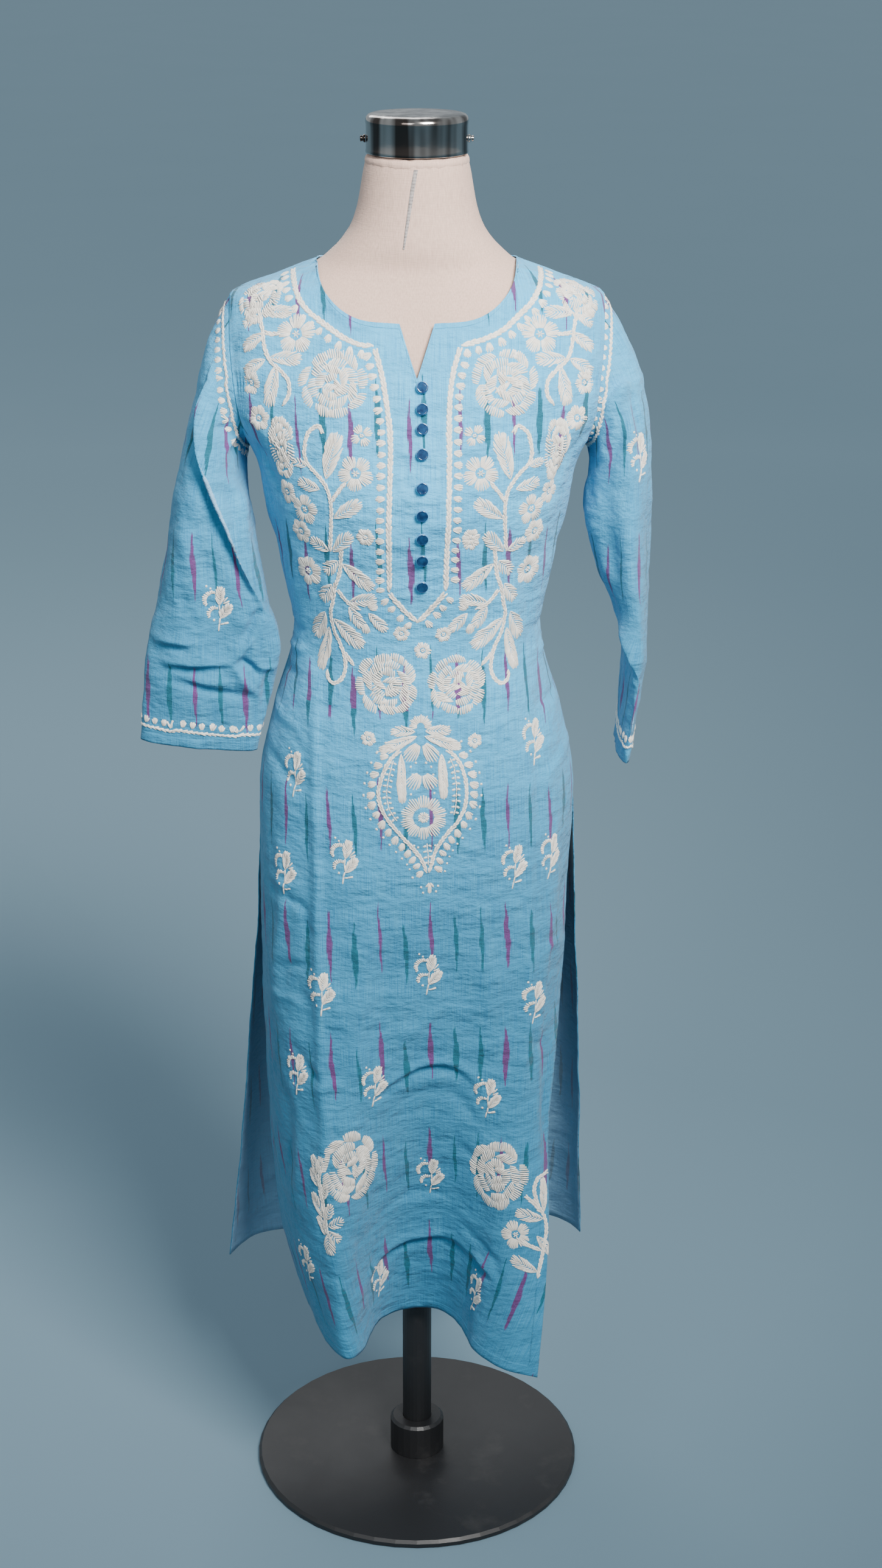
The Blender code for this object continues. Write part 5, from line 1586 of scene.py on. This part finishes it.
shape = bmesh.new()
shape.from_mesh(nodes["form_torso"].data)
bmesh.ops.remove_doubles(shape, verts=shape.verts, dist=0.00001)
coverMesh = bpy.data.meshes.new("formCover")
shape.to_mesh(coverMesh)
shape.free()
coverMesh.materials.clear()
coverMesh.materials.append(formCover)
cover = bpy.data.objects.new("formCover", coverMesh)
bpy.context.collection.objects.link(cover)
smoother = cover.modifiers.new("finer", "SUBSURF")
smoother.levels = smoother.render_levels = form["smoothing"]
finer = bpy.data.meshes.new_from_object(cover.evaluated_get(bpy.context.evaluated_depsgraph_get()))
cover.modifiers.clear()
shape = bmesh.new()
shape.from_mesh(finer)
upper = [v for v in shape.verts if form["settleFrom"] < v.co.z < form["settleTo"]]
for _ in range(form["settle"]):
    bmesh.ops.smooth_vert(shape, verts=upper, factor=0.5, use_axis_x=True, use_axis_y=True,
                          use_axis_z=False)
shape.to_mesh(finer)
shape.free()
cover.data = finer
finer.shade_smooth()
pieces.append(cover)
coverTree = BVHTree.FromPolygons([v.co.copy() for v in finer.vertices],
                                 [list(p.vertices) for p in finer.polygons])

# Rolled edge of the cover: a soft ring that sags and puckers a little
roll = form["roll"]
ringSides, ringTurns = 16, 120
points, faces = [], []
for k in range(ringTurns):
    turn = 2 * math.pi * k / ringTurns
    here = Vector((math.cos(turn) * 3, math.sin(turn) * 3, 0))
    pucker = noise.noise(here * 3.1) * 0.6 + noise.noise(here * 7.7) * 0.4
    out = Vector((math.cos(turn) * roll["wide"], math.sin(turn) * roll["deep"], 0))
    fat = roll["thick"] * (1 + 0.22 * noise.noise(here * 2.3)) + roll["wrinkles"] * pucker
    for j in range(ringSides):
        around = 2 * math.pi * j / ringSides
        far = 1 + (fat * math.cos(around) * 0.62 - 0.0022) / roll["wide"]
        points.append(out * far + Vector((0, 0, roll["height"] + fat * math.sin(around)
                                          - roll["droop"] * max(0, pucker))))
        faces.append((k * ringSides + j, ((k + 1) % ringTurns) * ringSides + j,
                      ((k + 1) % ringTurns) * ringSides + (j + 1) % ringSides,
                      k * ringSides + (j + 1) % ringSides))
addPiece("coverRoll", points, faces, formCover, "form_cotton")

# Tape down the front of the neck
tapePath = smoothLine([(x, z) for x, z, wide in form["tape"]], 40)
tapeRows = np.array(form["tape"])[::-1]
points = []
for x, z in tapePath:
    wide = np.interp(z, tapeRows[:, 1], tapeRows[:, 2])
    for side, lift in ((-1.0, -0.0003), (-0.86, 0.0006), (0.86, 0.0006), (1.0, -0.0003)):
        hit = hitAlongY(coverTree, x + side * wide, z)
        points.append(hit[0] + hit[1] * lift)
addPiece("coverTape", points, gridFaces(len(tapePath), 4).tolist(), tapeCotton("greyTape"),
         "form_cotton")
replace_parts(cover, "form_torso")
print("form covered")

# Cap and its two screws
neckCap = addPiece("neckCapFine", *lathe(capSizes["section"], capSizes["sides"]), chrome, "chrome")
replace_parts(neckCap, "neck_cap")
for side, node in ((-1, "cap_screw_left"), (1, "cap_screw_right")):
    points, faces = lathe(capSizes["screw"], capSizes["screwSides"])
    points = [(side * (capSizes["screwFrom"] + z), x, capSizes["screwZ"] + y) for x, y, z in points]
    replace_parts(addPiece(node + "Fine", points, faces, chrome, "chrome"), node)
for node in ("pole", "pole_collar", "base_plate"):
    nodes[node].data.materials.clear()
    nodes[node].data.materials.append(blackPaint)
print("cap and stand finished")

# Buttons: each stands where the frame's button is, along the cloth's own direction there
button = {
    # half section: radius, height above the cloth
    "section": ((0.0034, -0.0004), (0.0050, 0.0000), (0.0057, 0.0007), (0.0059, 0.0016),
                (0.0059, 0.0026), (0.0056, 0.0034), (0.0050, 0.0038), (0.0046, 0.0037),
                (0.0043, 0.0036), (0.0034, 0.0037), (0.0020, 0.0038), (0.0004, 0.0038)),
    "sides": 40,
}
for number in range(1, 10):
    node = "button_%d" % number
    low, high = (Vector(corner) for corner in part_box(node))
    middle = (low + high) / 2
    seat = hitAlongY(frontTree, middle.x, middle.z)[0]
    normal = flatGround(frontTree, middle.x * 1000, middle.z * 1000)["normal"]
    turn = normal.to_track_quat("Z", "Y").to_matrix()
    points, faces = lathe(button["section"], button["sides"])
    points = [seat + turn @ Vector(p) for p in points]
    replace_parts(addPiece(node + "Fine", points, faces, buttonPaint, "button"), node)
print("buttons sewn on")


# Studio: soft lights and a floor coloured dark near the stand as painted shade and pale far off as
# painted light
studio = {
    "floorNearPaintedShade": (0.14, 0.225, 0.285), "floorFar": (0.33, 0.49, 0.585), "nearTo": 1.0,
    "farFrom": 5.0, "floorReach": 40.0,
    "floorRough": 0.9, "air": (0.70, 0.78, 0.84), "airStrength": 0.58,
    "lights": (
        # name, place, aimed at, size, watts, spread, colour
        ("keyLight", (0.85, -1.75, 2.75), (0, -0.1, 1.30), 0.95, 25, 60, (1.0, 0.985, 0.96)),
        ("frontLight", (-0.9, -2.2, 2.5), (0, 0, 1.25), 1.0, 6, 100, (0.97, 0.98, 1.0)),
        ("backLight", (-0.6, 2.4, 3.0), (0, 0, 1.0), 1.6, 28, 180, (1.0, 1.0, 1.0)),
    ),
}
reach = studio["floorReach"]
floorMesh = bpy.data.meshes.new("studioFloor")
floorMesh.from_pydata([(-reach, -reach, 0), (reach, -reach, 0), (reach, reach, 0),
                       (-reach, reach, 0)], [], [(0, 1, 2, 3)])
floorPiece = bpy.data.objects.new("studioFloor", floorMesh)
floorPiece.location.z = -0.0006
bpy.context.collection.objects.link(floorPiece)
floorPaint, floorTree, floorShader = newMaterial("studioFloorPaint", studio["floorRough"])
floorPlace = placeIn(floorTree)
floorFar = nodeOf(floorTree, "ShaderNodeVectorMath", {0: floorPlace}, operation="LENGTH")
# painted shade and light: the floor's colour runs from the dark near colour within nearTo of the
# stand to the pale far colour beyond farFrom
floorShade = Wire(floorTree, floorFar.outputs["Value"]).ramp(studio["nearTo"], studio["farFrom"])
floorColour = floorShade.mix(studio["floorNearPaintedShade"], studio["floorFar"])
floorColour = (floorPlace.noise((1.5, 1.5, 1.5)) * 0.06).mix(floorColour, studio["floorNearPaintedShade"])
feed(floorShader.inputs["Base Color"], floorColour)
floorMesh.materials.append(floorPaint)
for name, place, aim, size, watts, spread, colour in studio["lights"]:
    lamp = bpy.data.lights.new(name, "AREA")
    lamp.size, lamp.energy, lamp.color = size, watts, colour
    lamp.spread = math.radians(spread)
    lampObject = bpy.data.objects.new(name, lamp)
    lampObject.location = place
    lampObject.rotation_euler = (Vector(aim) - Vector(place)).to_track_quat("-Z", "Y").to_euler()
    bpy.context.collection.objects.link(lampObject)
world = bpy.data.worlds.new("studioAir")
world.use_nodes = True
world.node_tree.nodes["Background"].inputs[0].default_value = (*studio["air"], 1.0)
world.node_tree.nodes["Background"].inputs[1].default_value = studio["airStrength"]
bpy.context.scene.world = world
print("studio lit")

for piece in pieces:
    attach(piece, "root")
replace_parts(frontSheet, "kurti_front")
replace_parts(backSheet, "kurti_back")
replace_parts(leftSheet, "sleeve_left")
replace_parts(rightSheet, "sleeve_right")
